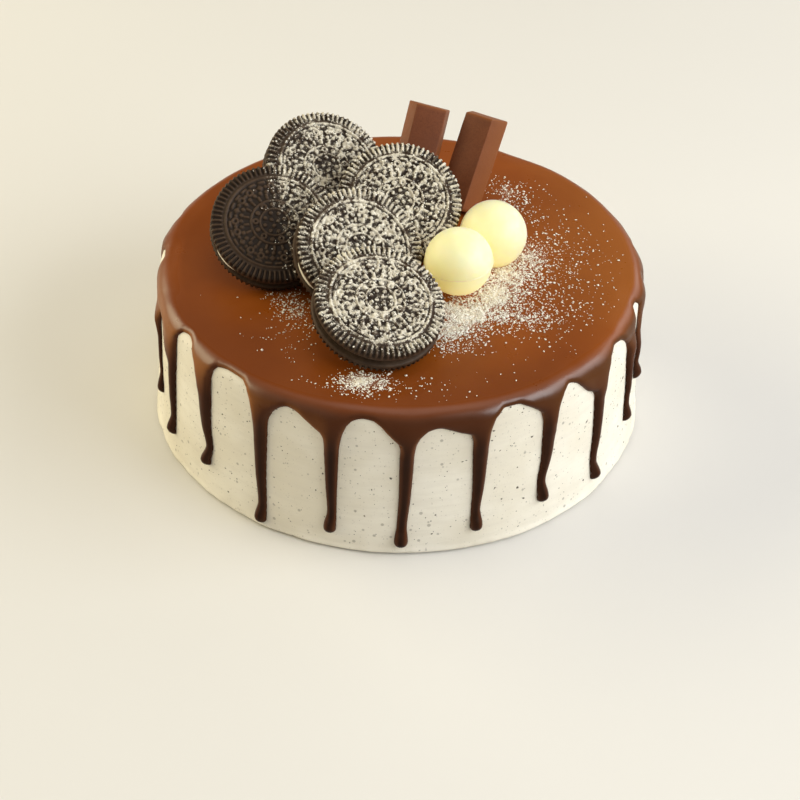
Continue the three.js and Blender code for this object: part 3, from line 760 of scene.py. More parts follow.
    # the top, in rings that thin out towards the middle
    ring = np.arange(ncol) + (ROWS - 1) * ncol
    ring_t = (np.radians(col_end[:, 0]) - math.radians(col_end[0, 0])) % TAU
    base_turn = math.radians(col_end[0, 0])
    for radius, count in ((68.5, 480), (61.0, 360), (53.0, 300), (44.0, 240), (35.0, 180), (25.0, 120), (15.0, 72), (6.0, 30)):
        tt = np.arange(count) * TAU / count
        th = tt + base_turn
        q = np.stack([radius * np.cos(th), radius * np.sin(th), np.full(count, TOP)], 1)
        q[:, 2] += 0.10 * noise(q, (30, 30, 30), 41)
        new = np.arange(count) + len(verts)
        verts += list(q)
        add(bridge(ring, ring_t, new, tt))
        ring, ring_t = new, tt
    verts.append(np.array([0, 0, TOP]))
    add(np.stack([ring, np.roll(ring, -1), np.full(len(ring), len(verts) - 1)], 1))
    # the underside, inside the frosting
    loop = [c for c in range(ncol) if col_kind[c] < 0 or c % (K + M) in (0, K - 1)]
    loop = np.array(loop)
    la = (np.radians(col_end[loop, 0]) - base_turn) % TAU
    th = la + base_turn
    inner = np.arange(len(loop)) + len(verts)
    verts += list(np.stack([78 * np.cos(th), 78 * np.sin(th), np.full(len(loop), 56.9)], 1))
    add(np.stack([loop, inner, np.roll(inner, -1), np.roll(loop, -1)], 1), True)
    verts.append(np.array([0, 0, 56.9]))
    add(np.stack([inner, np.full(len(inner), len(verts) - 1), np.roll(inner, -1)], 1), True)
    thin = np.concatenate([thin, np.zeros(len(verts) - len(thin))])
    return build("glaze_poured", np.array(verts), faces, MAT["glaze"], ["chocolate_glaze"], flat=flats,
                 attributes={"thin": thin})


def make_frosting():
    n = 560
    th = np.arange(n) * TAU / n
    rings = []
    # foot: a small uneven ridge along the lower edge of the frosting
    zs = [0.0, 0.25, 0.6, 1.0, 1.5, 2.1, 2.9, 3.9]
    z = 3.9
    while z < Z_E - 0.8:
        z += 0.85
        zs.append(z)
    for z in zs:
        p = np.stack([88 * np.cos(th), 88 * np.sin(th), np.full(n, z)], 1)
        r = side_r(z) + unevenness(th, np.full(n, z))
        foot = 0.55 + 0.35 * noise(p * [1, 1, 0], 7.0, 51) + 0.2 * noise(p * [1, 1, 0], 2.4, 52)
        r = r + foot * math.exp(-((z - 1.25) / 0.75) ** 2)
        r = r - 0.9 * max(0.0, 1 - z / 0.5) ** 2
        rings.append(np.stack([r * np.cos(th), r * np.sin(th), np.full(n, z)], 1))
    for a in np.linspace(SWEEP, 0, 9):
        t = RHO * a
        r, z, nr, nz = profile(t)
        off = unevenness(th, np.full(n, float(z)))
        rings.append(np.stack([(r + nr * off) * np.cos(th), (r + nr * off) * np.sin(th), np.full(n, z) + nz * off - 0.02], 1))
    rings.append(np.stack([60 * np.cos(th), 60 * np.sin(th), np.full(n, ZF - 0.4)], 1))
    verts = np.concatenate(rings + [[[0, 0, ZF - 0.4]], [[0, 0, 0]]])
    faces = [ring_quads(i * n, (i + 1) * n, n) for i in range(len(rings) - 1)]
    top, low = len(verts) - 2, len(verts) - 1
    i = np.arange(n)
    last = (len(rings) - 1) * n
    faces.append(np.stack([last + i, last + (i + 1) % n, np.full(n, top)], 1))
    faces.append(np.stack([(i + 1) % n, i, np.full(n, low)], 1))
    return build("frosting_spread", verts, faces, MAT["frosting"], ["frosted_cake"],
                 flat=[False] * (len(faces) - 1) + [True])


# --------------------------------------------------------------- grains and crumbs
def icosphere():
    g = (1 + 5 ** 0.5) / 2
    v = np.array([(-1, g, 0), (1, g, 0), (-1, -g, 0), (1, -g, 0), (0, -1, g), (0, 1, g), (0, -1, -g), (0, 1, -g),
                  (g, 0, -1), (g, 0, 1), (-g, 0, -1), (-g, 0, 1)], float)
    f = np.array([(0, 11, 5), (0, 5, 1), (0, 1, 7), (0, 7, 10), (0, 10, 11), (1, 5, 9), (5, 11, 4), (11, 10, 2), (10, 7, 6),
                  (7, 1, 8), (3, 9, 4), (3, 4, 2), (3, 2, 6), (3, 6, 8), (3, 8, 9), (4, 9, 5), (2, 4, 11), (6, 2, 10),
                  (8, 6, 7), (9, 8, 1)])
    return v / np.linalg.norm(v[0]), f


def octahedron():
    v = np.array([(1, 0, 0), (-1, 0, 0), (0, 1, 0), (0, -1, 0), (0, 0, 1), (0, 0, -1)], float)
    f = np.array([(0, 2, 4), (2, 1, 4), (1, 3, 4), (3, 0, 4), (2, 0, 5), (1, 2, 5), (3, 1, 5), (0, 3, 5)])
    return v, f


def scatter(name, points, normals, radii, squeeze, material, seed=1, small=0.0):
    """Joined uneven grains: one for each point, flattened along its normal."""
    r_ = np.random.default_rng(seed)
    all_v, all_f, at = [], [], 0
    for shape, chosen in ((icosphere(), radii >= small), (octahedron(), radii < small)):
        v0, f0 = shape
        n = int(chosen.sum())
        if not n:
            continue
        p, nrm, rad = points[chosen], normals[chosen], radii[chosen]
        nrm = nrm / np.linalg.norm(nrm, axis=1, keepdims=True)
        side = np.cross(nrm, r_.normal(size=(n, 3)))
        side /= np.linalg.norm(side, axis=1, keepdims=True)
        other = np.cross(nrm, side)
        jitter = 1 + r_.uniform(-0.28, 0.28, size=(n, len(v0)))
        a = r_.uniform(0.75, 1.3, size=n)
        local = v0[None, :, :] * jitter[:, :, None]
        x, y, z = local[..., 0] * a[:, None], local[..., 1] / a[:, None], local[..., 2] * squeeze
        v = (p[:, None, :] + rad[:, None, None] * (x[..., None] * side[:, None, :] + y[..., None] * other[:, None, :]
                                                   + z[..., None] * nrm[:, None, :]))
        all_v.append(v.reshape(-1, 3))
        all_f.append((f0[None] + (np.arange(n) * len(v0))[:, None, None]).reshape(-1, 3) + at)
        at += n * len(v0)
    return build(name, np.concatenate(all_v), all_f, material)


def make_crumbs():
    """Dark crumbs in the frosting's skin."""
    n = 1500
    th = rng.uniform(0, TAU, n)
    z = rng.uniform(1.5, 55.5, n)
    rad = np.clip(rng.lognormal(math.log(0.245), 0.46, n), 0.11, 0.80)
    r = side_r(z) + unevenness(th, z) - 0.28 * rad
    p = np.stack([r * np.cos(th), r * np.sin(th), z], 1)
    nrm = np.stack([np.cos(th), np.sin(th), np.full(n, 0.06)], 1)
    return scatter("frosting_crumbs", p, nrm, rad, 0.45, MAT["crumb"], seed=5)


# ------------------------------------------------------------------------ cookies
R_COOKIE = 22.0
RIBS = 72
WAFER = 3.9
COOKIES = {
    "front": ((-5.73, -49.41, 77.46), -57.3, 21.8, 55), "middle": ((-13.26, -21.06, 78.49), -63.4, 35.7, 22),
    "left": ((-43.24, -7.94, 78.96), -75.5, 32.8, 10), "right": ((-0.38, 7.39, 79.2), -82.3, 35.8, 75),
    "back": ((-26.76, 25.72, 80.67), -63.1, 34.8, 40),
}


def cookie_frame(name):
    at, toward, tilt, spin = COOKIES[name]
    a, t = math.radians(toward), math.radians(tilt)
    lean = Vector((math.sin(t) * math.cos(a), math.sin(t) * math.sin(a), math.cos(t)))
    q = Vector((0, 0, 1)).rotation_difference(lean)
    m = q.to_matrix() @ Matrix.Rotation(math.radians(spin), 3, "Z")
    return np.array(m), np.array(at)


FRAMES = {name: cookie_frame(name) for name in COOKIES}


def in_cookie(p, name, grow=0.0):
    m, at = FRAMES[name]
    q = (p - at) @ m
    return (np.hypot(q[:, 0], q[:, 1]) < R_COOKIE + grow) & (q[:, 2] < grow) & (q[:, 2] > -10.6 - grow)


def motifs(r, phi):
    """Raised field inside the ribs, 0 to 1: rings of dashes, small hoops, bars and bosses round a plain centre."""
    x, y = r * np.cos(phi), r * np.sin(phi)

    def line(d, half, soft=0.28):
        return smooth(half + soft, half - 0.12, np.abs(d))

    def around(count, radius, turn=0.0):
        step = TAU / count
        k = np.round((phi - turn) / step)
        c = k * step + turn
        # local place: outward u, sideways v
        return x * np.cos(c) + y * np.sin(c) - radius, -x * np.sin(c) + y * np.cos(c), k

    out = line(r - 16.9, 0.34)
    u, v, k = around(28, 15.45)
    out = np.maximum(out, line(u, 0.36) * smooth(1.38, 1.05, np.abs(v)))
    u, v, k = around(21, 13.6, 0.08)
    hoop = line(np.hypot(u, v) - 0.98, 0.34)
    dia = smooth(1.35, 0.9, np.abs(u) + 0.9 * np.abs(v))
    out = np.maximum(out, np.where(k % 3 == 0, dia, hoop))
    u, v, k = around(21, 13.6, 0.08 + TAU / 42)
    out = np.maximum(out, smooth(0.72, 0.42, np.hypot(u, v)))
    u, v, k = around(33, 11.6, 0.02)
    out = np.maximum(out, smooth(0.84, 0.50, np.hypot(u * 0.9, v)))
    u, v, k = around(22, 9.85, 0.05)
    out = np.maximum(out, line(v, 0.36) * smooth(1.15, 0.85, np.abs(u)))
    out = np.maximum(out, line(r - 8.15, 0.30))
    u, v, k = around(13, 6.6, 0.16)
    out = np.maximum(out, np.where(k % 2 == 0, line(np.hypot(u, v) - 0.80, 0.34), smooth(1.05, 0.66, np.hypot(u, v))))
    out = np.maximum(out, line(r - 5.0, 0.26))
    u, v, k = around(8, 3.55, 0.3)
    out = np.maximum(out, smooth(0.86, 0.52, np.hypot(u, v)))
    u, v, k = around(3, 1.35, 0.3)
    out = np.maximum(out, smooth(0.86, 0.52, np.hypot(u, v)))
    return out * smooth(17.5, 17.3, r)


def wafer_rows(inner_step):
    """Rows of a wafer's skin from its centre, over the embossed face and the edge, to its flat side: (radius, depth, zone)."""
    rows = [(0.6, 0.0, "field")]
    while rows[-1][0] < 17.2 - inner_step:
        rows.append((rows[-1][0] + inner_step, 0.0, "field"))
    rows += [(17.25, 0.0, "field")]
    rows += [(17.55, 0.0, "band"), (17.95, 0.0, "band"), (18.25, 0.0, "band"), (18.55, 0.0, "band"), (18.95, 0.0, "band"),
             (19.6, 0.0, "band"), (20.3, 0.02, "band"), (20.9, 0.10, "band"), (21.35, 0.28, "band"), (21.7, 0.58, "band"),
             (21.9, 1.0, "band"), (21.96, 1.45, "band"), (21.97, 1.9, "band"), (21.95, 2.3, "band"), (21.9, 2.7, "plain"),
             (21.88, 3.3, "plain"), (21.7, 3.68, "plain"), (21.3, 3.88, "plain"), (20.2, WAFER, "plain")]
    return rows


def make_wafer(name, cookie, upper, node):
    n_in, n_out = (288, 576) if upper else (216, 576)
    rows = wafer_rows(0.27 if upper else 0.5)
    m, at = FRAMES[cookie]
    verts, faces, dusts, hollow_shades = [], [], [], []
    ring, ring_t, count = None, None, 0
    seed = sorted(COOKIES).index(cookie) * 7 + (0 if upper else 3)
    # painted shade: each row also records how strongly it is darkened as shade in hollows: the emboss's low ground, the
    # grooves, and a little on the edge and the flat side
    for radius, depth, zone in rows:
        n = n_in if zone == "field" else n_out
        phi = np.arange(n) * TAU / n
        r = np.full(n, radius)
        z = np.full(n, -depth)
        relief = np.zeros(n)
        if zone == "field":
            relief = motifs(r, phi)
            z = z - 0.60 * (1 - relief)
            hollow_shade = 1 - relief
        elif zone == "band":
            wave = 0.5 + 0.5 * np.tanh(2.4 * np.cos(RIBS * phi) - 0.15)
            start = smooth(18.0, 18.75, r)
            end = 1 - smooth(1.9, 2.7, np.full(n, depth))
            groove = (1 - wave) * start * end
            level = 0.42 * (1 - smooth(18.0, 18.7, r)) * smooth(17.2, 17.5, r)
            relief = (1 - groove) * start
            # grooves cut down on the face and in on the edge
            face_part = 1 - smooth(0.1, 1.0, np.full(n, depth))
            z = z - level - 0.85 * groove * face_part - 0.06
            r = r - 0.62 * groove * smooth(0.05, 0.7, np.full(n, depth))
            hollow_shade = np.clip(groove * 1.25 + level * 1.3, 0, 1)
        else:
            hollow_shade = np.full(n, 0.15)
        q = np.stack([r * np.cos(phi), r * np.sin(phi), z], 1)
        q[:, 2] += 0.05 * noise(q + 31.7 * seed, 2.3, seed) * (1 if zone != "plain" else 0.4)
        q[:, :2] *= (1 + 0.0016 * noise(q + 11.3 * seed, 5.0, seed + 1))[:, None]
        new = np.arange(n) + count
        if ring is None:
            verts.append(np.array([[0, 0, float(z.mean())]]))
            new = new + 1
            count = 1
            faces.append(np.stack([np.zeros(n, int), new, np.roll(new, -1)], 1))
            dusts.append(np.array([0.0]))
            hollow_shades.append(np.array([float(hollow_shade.mean())]))
        elif len(ring) == n:
            faces.append(np.stack([ring, new, np.roll(new, -1), np.roll(ring, -1)], 1))
        else:
            f = bridge(ring, ring_t, new, phi)
            faces.append(f[:, ::-1])
        verts.append(q)
        dusts.append(relief)
        hollow_shades.append(hollow_shade)
        count += n
        ring, ring_t = new, phi
    # the flat side
    verts.append(np.array([[0, 0, -WAFER]]))
    faces.append(np.stack([ring, np.full(len(ring), count), np.roll(ring, -1)], 1))
    dusts.append(np.array([0.0]))
    hollow_shades.append(np.array([0.2]))
    v = np.concatenate(verts)
    relief, hollow_shade = np.concatenate(dusts), np.concatenate(hollow_shades)
    if not upper:
        v = v * [1, -1, -1] + [0, 0, -10.6]
    world = v @ m.T + at
    dust = np.zeros(len(v))
    if upper:
        dust = sugar_on(cookie, world, v, relief)
    return build(name, world, faces, MAT["wafer"], [node], attributes={"dust": dust, "painted_hollow_shade": hollow_shade})


def coverage(cookie, world, local):
    """How thickly icing sugar fell on a cookie's face, 0 to 1."""
    x, y = world[:, 0], world[:, 1]
    if cookie == "left":
        c = smooth(-50, -32, x + 0.35 * (y + 8)) * 0.85
    elif cookie == "back":
        c = 0.60 + 0.38 * smooth(-44, -28, x) + 0 * x
    elif cookie == "front":
        lower = smooth(-71, -61, y + 0.10 * x)
        c = 0.40 + 0.60 * lower
        c = c * (0.70 + 0.30 * smooth(-27, -18, x))
    elif cookie == "middle":
        c = 0.66 + 0.34 * smooth(-36, -26, x)
    else:
        c = 0.84 + 0.16 * smooth(-16, 0, x)
    return np.clip(c * (0.95 + 0.26 * noise(world, 5.5, 61)), 0, 1)


def sugar_on(cookie, world, local, relief):
    c = coverage(cookie, world, local)
    edge = smooth(-1.9, -0.6, local[:, 2])
    mottle = noise(local + 50, 1.9, 63) + 0.8 * noise(local + 70, 0.85, 64)
    d = c * (0.37 + 0.45 * relief) + 0.34 * mottle * c
    return np.clip(d, 0, 1) * edge


def make_creme(cookie):
    n = 160
    m, at = FRAMES[cookie]
    seed = sorted(COOKIES).index(cookie)
    phi = np.arange(n) * TAU / n
    rows = []
    # it presses out to the wafers' edge only at one place, on two of the cookies
    bulge = 0.0
    if cookie in ("left", "middle"):
        d = m.T @ np.array([-0.80, -0.60, 0.0] if cookie == "middle" else [-0.70, -0.71, 0.0])
        turn = (phi - math.atan2(d[1], d[0]) + math.pi) % TAU - math.pi
        bulge = 1.72 * np.exp(-(turn / 0.34) ** 4)
    for r, z in ((0.0, -3.9), (18.6, -3.9), (19.3, -4.0), (19.65, -4.5), (19.75, -5.2), (19.7, -6.0), (19.3, -6.6), (18.6, -6.7), (0.0, -6.7)):
        if r == 0:
            rows.append(np.array([[0, 0, z]]))
            continue
        wide = r + bulge
        q = np.stack([wide * np.cos(phi), wide * np.sin(phi), np.full(n, z)], 1)
        k = 1 + (0.008 * noise(q + 13 * seed, 9.0, 70 + seed) + 0.004 * noise(q + 13 * seed, 2.0, 80 + seed))
        q[:, :2] *= k[:, None]
        rows.append(q)
    v = np.concatenate(rows)
    faces = [np.stack([np.zeros(n, int), 1 + np.arange(n), 1 + (np.arange(n) + 1) % n], 1)]
    for i in range(6):
        faces.append(ring_quads(1 + i * n, 1 + (i + 1) * n, n)[:, ::-1])
    low = len(v) - 1
    a = 1 + 6 * n
    faces.append(np.stack([a + np.arange(n), np.full(n, low), a + (np.arange(n) + 1) % n], 1))
    return build(f"cookie_{cookie}_filling", v @ m.T + at, faces, MAT["creme"], [f"cookie_{cookie}_creme"])


# --------------------------------------------------------------------------- bars
BARS = {
    "left": ((1.4, 33.0), (0.215, 0.576, 0.789), (0.107, -0.817, 0.567), 38.3),
    "right": ((22.2, 36.0), (0.290, 0.506, 0.812), (-0.457, -0.672, 0.582), 33.6),
}


def rounded(corners, radii, steps=5):
    """A polygon with rounded corners, counter-clockwise."""
    out = []
    n = len(corners)
    for i in range(n):
        p, a, b = (np.array(corners[j % n], float) for j in (i, i - 1, i + 1))
        u, v = a - p, b - p
        lu, lv = np.linalg.norm(u), np.linalg.norm(v)
        u, v = u / lu, v / lv
        ang = math.acos(np.clip(u @ v, -1, 1))
        cut = min(radii[i] / math.tan(ang / 2), 0.45 * lu, 0.45 * lv)
        r = cut * math.tan(ang / 2)
        c = p + (u + v) / np.linalg.norm(u + v) * (r / math.sin(ang / 2))
        s, e = p + u * cut - c, p + v * cut - c
        for k in range(steps + 1):
            w = k / steps
            d = s * (1 - w) + e * w
            out.append(c + d / np.linalg.norm(d) * r)
    return np.array(out)


def bar_frame(key):
    at, axis, face, out = BARS[key]
    axis = np.array(axis) / np.linalg.norm(axis)
    face = np.array(face) - axis * (np.array(face) @ axis)
    face /= np.linalg.norm(face)
    side = np.cross(face, axis)
    foot = np.array([at[0], at[1], TOP]) + axis * (out - 50.0)
    return side, face, axis, foot


def make_bar(key):
    side, face, axis, foot = bar_frame(key)
    w, f, h, lip = 7.6, 5.5, 8.9, 1.2
    corners = [(-w, 0), (w, 0), (w, lip), (f, h), (-f, h), (-w, lip)]
    radii = [0.25, 0.25, 0.3, 0.42, 0.42, 0.3]
    shape = rounded(corners, radii)
    n = len(shape)
    rings = []
    length = 50.0
    zs = list(np.linspace(14.0, length - 0.5, 30)) + [length - 0.33, length - 0.2, length - 0.1, length - 0.03, length]
    for z in zs:
        # a small rounding at the end, which slants back towards the narrow face
        end = max(0.0, (z - (length - 0.5)) / 0.5)
        pull = 0.5 * (1 - math.sqrt(max(0.0, 1 - end * end)))
        q = shape.copy()
        q[:, 0] -= np.sign(q[:, 0]) * pull
        q[:, 1] = h / 2 + (q[:, 1] - h / 2) * (1 - pull / (h / 2))
        slant = q[:, 1] / h * 1.3 * smooth(length - 5.0, length - 0.5, z)
        q = q * (1 + 0.004 * noise(np.stack([q[:, 0], q[:, 1], np.full(n, z)], 1), 4.0, 97))[:, None]
        p3 = np.stack([q[:, 0], q[:, 1], z - slant], 1)
        rings.append(p3)
    v = np.concatenate(rings)
    v = np.concatenate([v, [[0, h / 2, zs[0]]], [[0, h / 2, rings[-1][:, 2].mean()]]])
    faces = [ring_quads(i * n, (i + 1) * n, n) for i in range(len(rings) - 1)]
    i = np.arange(n)
    a, b = len(v) - 2, len(v) - 1
    faces.append(np.stack([(i + 1) % n, i, np.full(n, a)], 1))
    last = (len(rings) - 1) * n
    faces.append(np.stack([last + i, last + (i + 1) % n, np.full(n, b)], 1))
    basis = np.stack([side, face, axis], 0)
    if np.linalg.det(basis) < 0:
        faces = [g[:, ::-1] for g in faces]
    # painted light: the slopes beside the narrow face, the edges and the end are paler, as if lit
    painted_bevel_light = np.concatenate([np.clip((np.abs(np.concatenate(rings)[:, 0]) - 5.3) / 0.5, 0, 1) * 0.9, [0, 1]])
    painted_bevel_light = np.maximum(painted_bevel_light, smooth(length - 0.8, length - 0.1, np.concatenate([np.repeat(zs, n), [0, length]])))
    return build(f"bar_{key}", v @ basis + foot, faces, MAT["bar"], [f"chocolate_bar_{key}"],
                 flat=[False] * (len(faces) - 2) + [True, True], attributes={"painted_bevel_light": painted_bevel_light})


# -------------------------------------------------------------------------- balls
BALLS = {"front": ((20.15, -18.3, 71.4), (-0.05, -0.02, 1.0)), "rear": ((32.6, 2.4, 69.0), (0.10, -0.80, 0.62))}
R_BALL = 11.95


def make_ball(key):
    at, seam = BALLS[key]
    seam = Vector(seam).normalized()
    q = np.array(Vector((0, 0, 1)).rotation_difference(seam).to_matrix())
    n = 128
    phi = np.arange(n) * TAU / n
    lat = np.concatenate([np.linspace(-90, -6, 30), np.linspace(-4.2, 4.2, 22)[1:-1], np.linspace(6, 90, 30)])
    rings = []
    for a in lat[1:-1]:
        # a raised mould seam; the half under it is a little smaller
        ridge = 0.24 * math.exp(-((a + 0.2) / 0.95) ** 2)
        step = 0.26 * float(smooth(-0.6, -2.2, a)) * (0.45 + 0.55 * math.exp(-((a + 2.0) / 22.0) ** 2))
        r = R_BALL - 0.17 + ridge - step
        v = np.stack([np.cos(phi) * math.cos(math.radians(a)), np.sin(phi) * math.cos(math.radians(a)),
                      np.full(n, math.sin(math.radians(a)))], 1)
        v = v * (r + 0.07 * noise(v * R_BALL + 7, 8.0, 90))[:, None]
        rings.append(v)
    pole = float(np.linalg.norm(rings[-1], axis=1).mean())
    v = np.concatenate(rings + [[[0, 0, -float(np.linalg.norm(rings[0], axis=1).mean())]], [[0, 0, pole]]])
    faces = [ring_quads(i * n, (i + 1) * n, n) for i in range(len(rings) - 1)]
    i = np.arange(n)
    last = (len(rings) - 1) * n
    faces.append(np.stack([(i + 1) % n, i, np.full(n, len(v) - 2)], 1))
    faces.append(np.stack([last + i, last + (i + 1) % n, np.full(n, len(v) - 1)], 1))
    w = v @ q.T + np.array(at)
    floor = TOP - 0.05
    if key == "front":
        w[:, 2] = np.maximum(w[:, 2], floor)
    return build(f"ball_{key}", w, faces, MAT["ball"], [f"white_ball_{key}"])


# -------------------------------------------------------------------------- mound
def make_mound():
    """A piped swirl of ganache behind the pile, pressed flat by the cookie on it."""
    n, rows = 240, 70
    phi = np.arange(n) * TAU / n
    verts = []
    for i in range(rows):
        u = i / (rows - 1)
        z = 21.5 * u ** 0.92
        body = math.sqrt(max(0.0, 1 - u ** 2.1)) * 0.93 + 0.07 * (1 - u)
        terrace = 1 + 0.05 * math.sin(u * 4.4 * math.pi - 0.8)
        lobes = 1 + 0.085 * np.cos(9 * (phi + 2.5 * u)) * (1 - 0.45 * u)
        r = 0.93 * body * terrace * lobes
        p = np.stack([17.3 * r * np.cos(phi), 15.3 * r * np.sin(phi), np.full(n, z)], 1)
        p[:, :2] *= (1 + 0.02 * noise(p, 5.0, 95))[:, None]
        verts.append(p)
    v = np.concatenate(verts + [[[0, 0, 21.5]], [[0, 0, 0]]])
    v = v + [-31.5, 36.0, TOP - 0.1]
    for name in COOKIES:
        m, at = FRAMES[name]
        q = (v - at) @ m
        inside = (np.hypot(q[:, 0], q[:, 1]) < 22.6) & (q[:, 2] > -10.75)
        q[inside, 2] = -10.75
        near = (~inside) & (np.hypot(q[:, 0], q[:, 1]) < 25.5) & (q[:, 2] > -10.75)
        q[near, 2] = np.minimum(q[near, 2], -10.75 + (np.hypot(q[near, 0], q[near, 1]) - 22.6) * 1.3)
        v = q @ m.T + at
    v[:, 2] = np.maximum(v[:, 2], TOP - 0.4)
    faces = [ring_quads(i * n, (i + 1) * n, n) for i in range(rows - 1)]
    i = np.arange(n)
    last = (rows - 1) * n
    faces.append(np.stack([last + i, last + (i + 1) % n, np.full(n, len(v) - 2)], 1))
    faces.append(np.stack([(i + 1) % n, i, np.full(n, len(v) - 1)], 1))
    return build("ganache_swirl", v, faces, MAT["glaze"], ["ganache_mound"])


# -------------------------------------------------------------------------- sugar
PATCHES = [  # middle, spread along and across, turn in degrees, grains
    ((24, -33), (7.5, 4.4), 50, 2300), ((33, -21), (7.0, 5.0), 55, 2100), ((37.5, -9), (5.4, 6.6), 0, 1750),
    ((19, -29.5), (4.5, 3.2), 0, 650), ((37, -33), (8, 4.5), 0, 620), ((45, 1), (6.0, 5.6), 0, 1000), ((17, -41), (6.0, 4.2), 20, 1350), ((40, -25), (12, 11), 0, 800), ((56, -3), (10, 14), 0, 560),
    ((18, -49), (6.5, 4), 0, 330), ((41, -33), (6, 4), 0, 330), ((49, -32), (8, 5), 0, 230), ((-11.5, -69.8), (4.6, 2.9), 5, 640), ((-9, -72.5), (6.0, 2.6), 12, 300),
    ((-2, -74), (12, 4.0), 0, 160), ((-39, -26.5), (4, 3.6), -20, 260), ((-33, -35.5), (4.2, 6), 20, 400),
    ((-38, -47), (7, 11), 10, 110), ((40, 44), (4.6, 5.6), 25, 420), ((46, 32), (5, 9), 0, 170), ((52, 15), (7, 12), 0, 260),
    ((32, -22), (30, 28), 0, 380),
]


def make_sugar_on_glaze():
    pts = []
    for (cx, cy), (sx, sy), turn, n in PATCHES:
        g = rng.normal(size=(n, 2)) * [sx, sy]
        a = math.radians(turn)
        pts.append(np.stack([cx + g[:, 0] * math.cos(a) - g[:, 1] * math.sin(a), cy + g[:, 0] * math.sin(a) + g[:, 1] * math.cos(a)], 1))
    xy = np.concatenate(pts)
    # clumping: grains gather where a slow noise is high
    keep = rng.uniform(size=len(xy)) < 0.62 + 0.55 * noise(np.stack([xy[:, 0], xy[:, 1], 0 * xy[:, 0]], 1), 2.4, 101, 2)
    xy = xy[keep]
    rad = np.clip(rng.lognormal(math.log(0.205), 0.38, len(xy)), 0.09, 0.50)
    p = np.stack([xy[:, 0], xy[:, 1], np.full(len(xy), TOP)], 1)
    p[:, 2] += 0.10 * noise(p, (30, 30, 30), 41) + 0.35 * rad
    ok = np.hypot(p[:, 0], p[:, 1]) < 81.5
    for name in COOKIES:
        ok &= ~in_cookie(p, name, 0.05)
    for at, _ in BALLS.values():
        ok &= np.linalg.norm(p - np.array(at), axis=1) > R_BALL + 0.1
    for key in BARS:
        side, face, axis, foot = bar_frame(key)
        q = p - foot
        ok &= ~((np.abs(q @ side) < 7.7) & (q @ face > -0.1) & (q @ face < 9.0))
    ok &= ~(np.hypot((p[:, 0] + 31.5) / 18, (p[:, 1] - 36) / 16) < 1)
    p, rad = p[ok], rad[ok]
    nrm = np.tile([0.0, 0.0, 1.0], (len(p), 1))
    print("sugar on glaze:", len(p), "grains,", int((rad >= 0.21).sum()), "large")
    return scatter("sugar_on_glaze", p, nrm, rad, 0.62, MAT["sugar"], seed=11, small=0.21)


def make_sugar_on_cookies():
    points, normals, radii = [], [], []
    for cookie, n in (("front", 3600), ("middle", 3000), ("right", 3300), ("back", 2900), ("left", 2300)):
        m, at = FRAMES[cookie]
        r = 21.6 * np.sqrt(rng.uniform(size=n))
        phi = rng.uniform(0, TAU, n)
        relief = np.where(r < 17.4, motifs(r, phi), 0.0)
        wave = 0.5 + 0.5 * np.tanh(2.2 * np.cos(RIBS * phi) + 0.15)
        relief = np.where(r > 18.4, wave, relief)
        depth = np.where(r < 17.4, 0.5 * (1 - relief), np.where(r > 18.4, 0.06 + 0.66 * (1 - wave), 0.45))
        depth = depth + np.where(r > 20.9, (r - 20.9) ** 2 * 0.8, 0)
        local = np.stack([r * np.cos(phi), r * np.sin(phi), -depth], 1)
        world = local @ m.T + at
        c = coverage(cookie, world, local)
        chance = c * (0.10 + 0.62 * relief) * (0.7 + 0.6 * noise(local + 50, 1.25, 63))
        keep = rng.uniform(size=n) < chance
        for other in COOKIES:
            if other != cookie:
                keep &= ~in_cookie(world, other, 0.25)
        for ball_at, _ in BALLS.values():
            keep &= np.linalg.norm(world - np.array(ball_at), axis=1) > R_BALL + 0.2
        rad = np.clip(rng.lognormal(math.log(0.19), 0.34, n), 0.09, 0.40)
        lift = local + np.stack([0 * rad, 0 * rad, 0.30 * rad], 1)
        points.append((lift @ m.T + at)[keep])
        normals.append(np.tile(m[:, 2], (int(keep.sum()), 1)))
        radii.append(rad[keep])
    return scatter("sugar_on_cookies", np.concatenate(points), np.concatenate(normals), np.concatenate(radii), 0.66,
                   MAT["sugar"], seed=12, small=0.15)


# --------------------------------------------------------------------- everything
make_glaze()
make_frosting()
make_crumbs()
for cookie in COOKIES:
    make_wafer(f"cookie_{cookie}_wafer_top", cookie, True, f"cookie_{cookie}_top")
    make_wafer(f"cookie_{cookie}_wafer_base", cookie, False, f"cookie_{cookie}_base")
    make_creme(cookie)
for key in BARS:
    make_bar(key)
for key in BALLS:
    make_ball(key)
make_mound()
make_sugar_on_glaze()
make_sugar_on_cookies()

# ------------------------------------------------------------------ stage, camera
floor_mesh = bpy.data.meshes.new("floor")
floor_mesh.from_pydata([(-6, -6, 0), (6, -6, 0), (6, 6, 0), (-6, 6, 0)], [], [(0, 1, 2, 3)])
floor = bpy.data.objects.new("floor", floor_mesh)
bpy.context.scene.collection.objects.link(floor)
floor_mesh.materials.append(floor_material())
floor.location.z = -0.0004


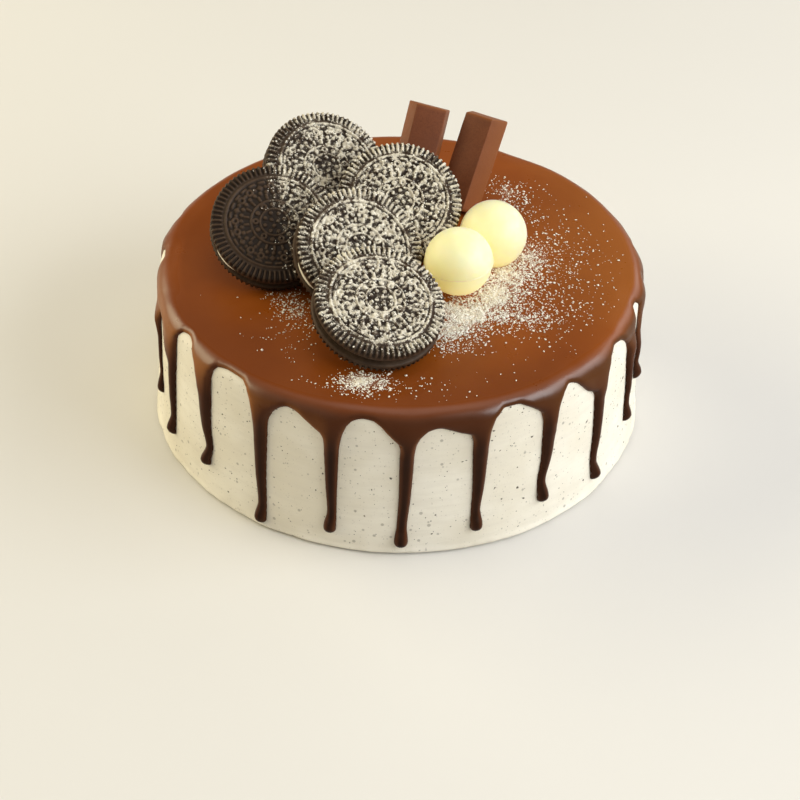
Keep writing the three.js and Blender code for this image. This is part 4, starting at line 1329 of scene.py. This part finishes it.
def lamp(name, at, look, size, power, colour):
    data = bpy.data.lights.new(name, "AREA")
    data.shape = "RECTANGLE"
    data.size, data.size_y = size
    data.energy = power
    data.color = colour
    ob = bpy.data.objects.new(name, data)
    bpy.context.scene.collection.objects.link(ob)
    ob.location = at
    ob.rotation_mode = "QUATERNION"
    ob.rotation_quaternion = (Vector(look) - Vector(at)).to_track_quat("-Z", "Y")
    return ob


lamp("softbox_right", (1.10, -0.36, 0.66), (0, 0, 0.04), (1.35, 0.80), 17.6, (0.945, 0.975, 1.0))
lamp("softbox_left", (-1.08, 0.26, 0.57), (0, 0, 0.04), (1.30, 0.72), 13.2, (1.0, 0.90, 0.61))
lamp("softbox_top", (0.10, -0.10, 1.30), (0, 0, 0.04), (0.9, 0.9), 3.8, (1.0, 0.97, 0.93))
lamp("softbox_back", (1.05, 0.80, 0.66), (0.03, 0.02, 0.05), (1.0, 0.6), 3.6, (1.0, 0.98, 0.93))

world = bpy.data.worlds.new("studio")
bpy.context.scene.world = world
world.use_nodes = True
world.node_tree.nodes["Background"].inputs["Color"].default_value = (1.0, 0.94, 0.83, 1.0)
world.node_tree.nodes["Background"].inputs["Strength"].default_value = 0.26
bpy.context.scene.view_settings.view_transform = "Standard"

tilt, roll = 0.6859, 0.0236
fwd = Vector((0, math.cos(tilt), -math.sin(tilt)))
right, up = Vector((1, 0, 0)), Vector((0, math.sin(tilt), math.cos(tilt)))
r2 = math.cos(roll) * right + math.sin(roll) * up
u2 = -math.sin(roll) * right + math.cos(roll) * up
cam_data = bpy.data.cameras.new("camera")
cam_data.sensor_width = 36.0
cam_data.lens = 1850.0 / 800.0 * 36.0
cam_data.clip_start, cam_data.clip_end = 0.01, 50.0
cam = bpy.data.objects.new("camera", cam_data)
bpy.context.scene.collection.objects.link(cam)
place = Matrix((r2, u2, -fwd)).transposed().to_4x4()
place.translation = Vector((1.2245 + SHIFT[0], -538.4925 + SHIFT[1], 435.2631)) * 0.001
cam.matrix_world = place
bpy.context.scene.camera = cam
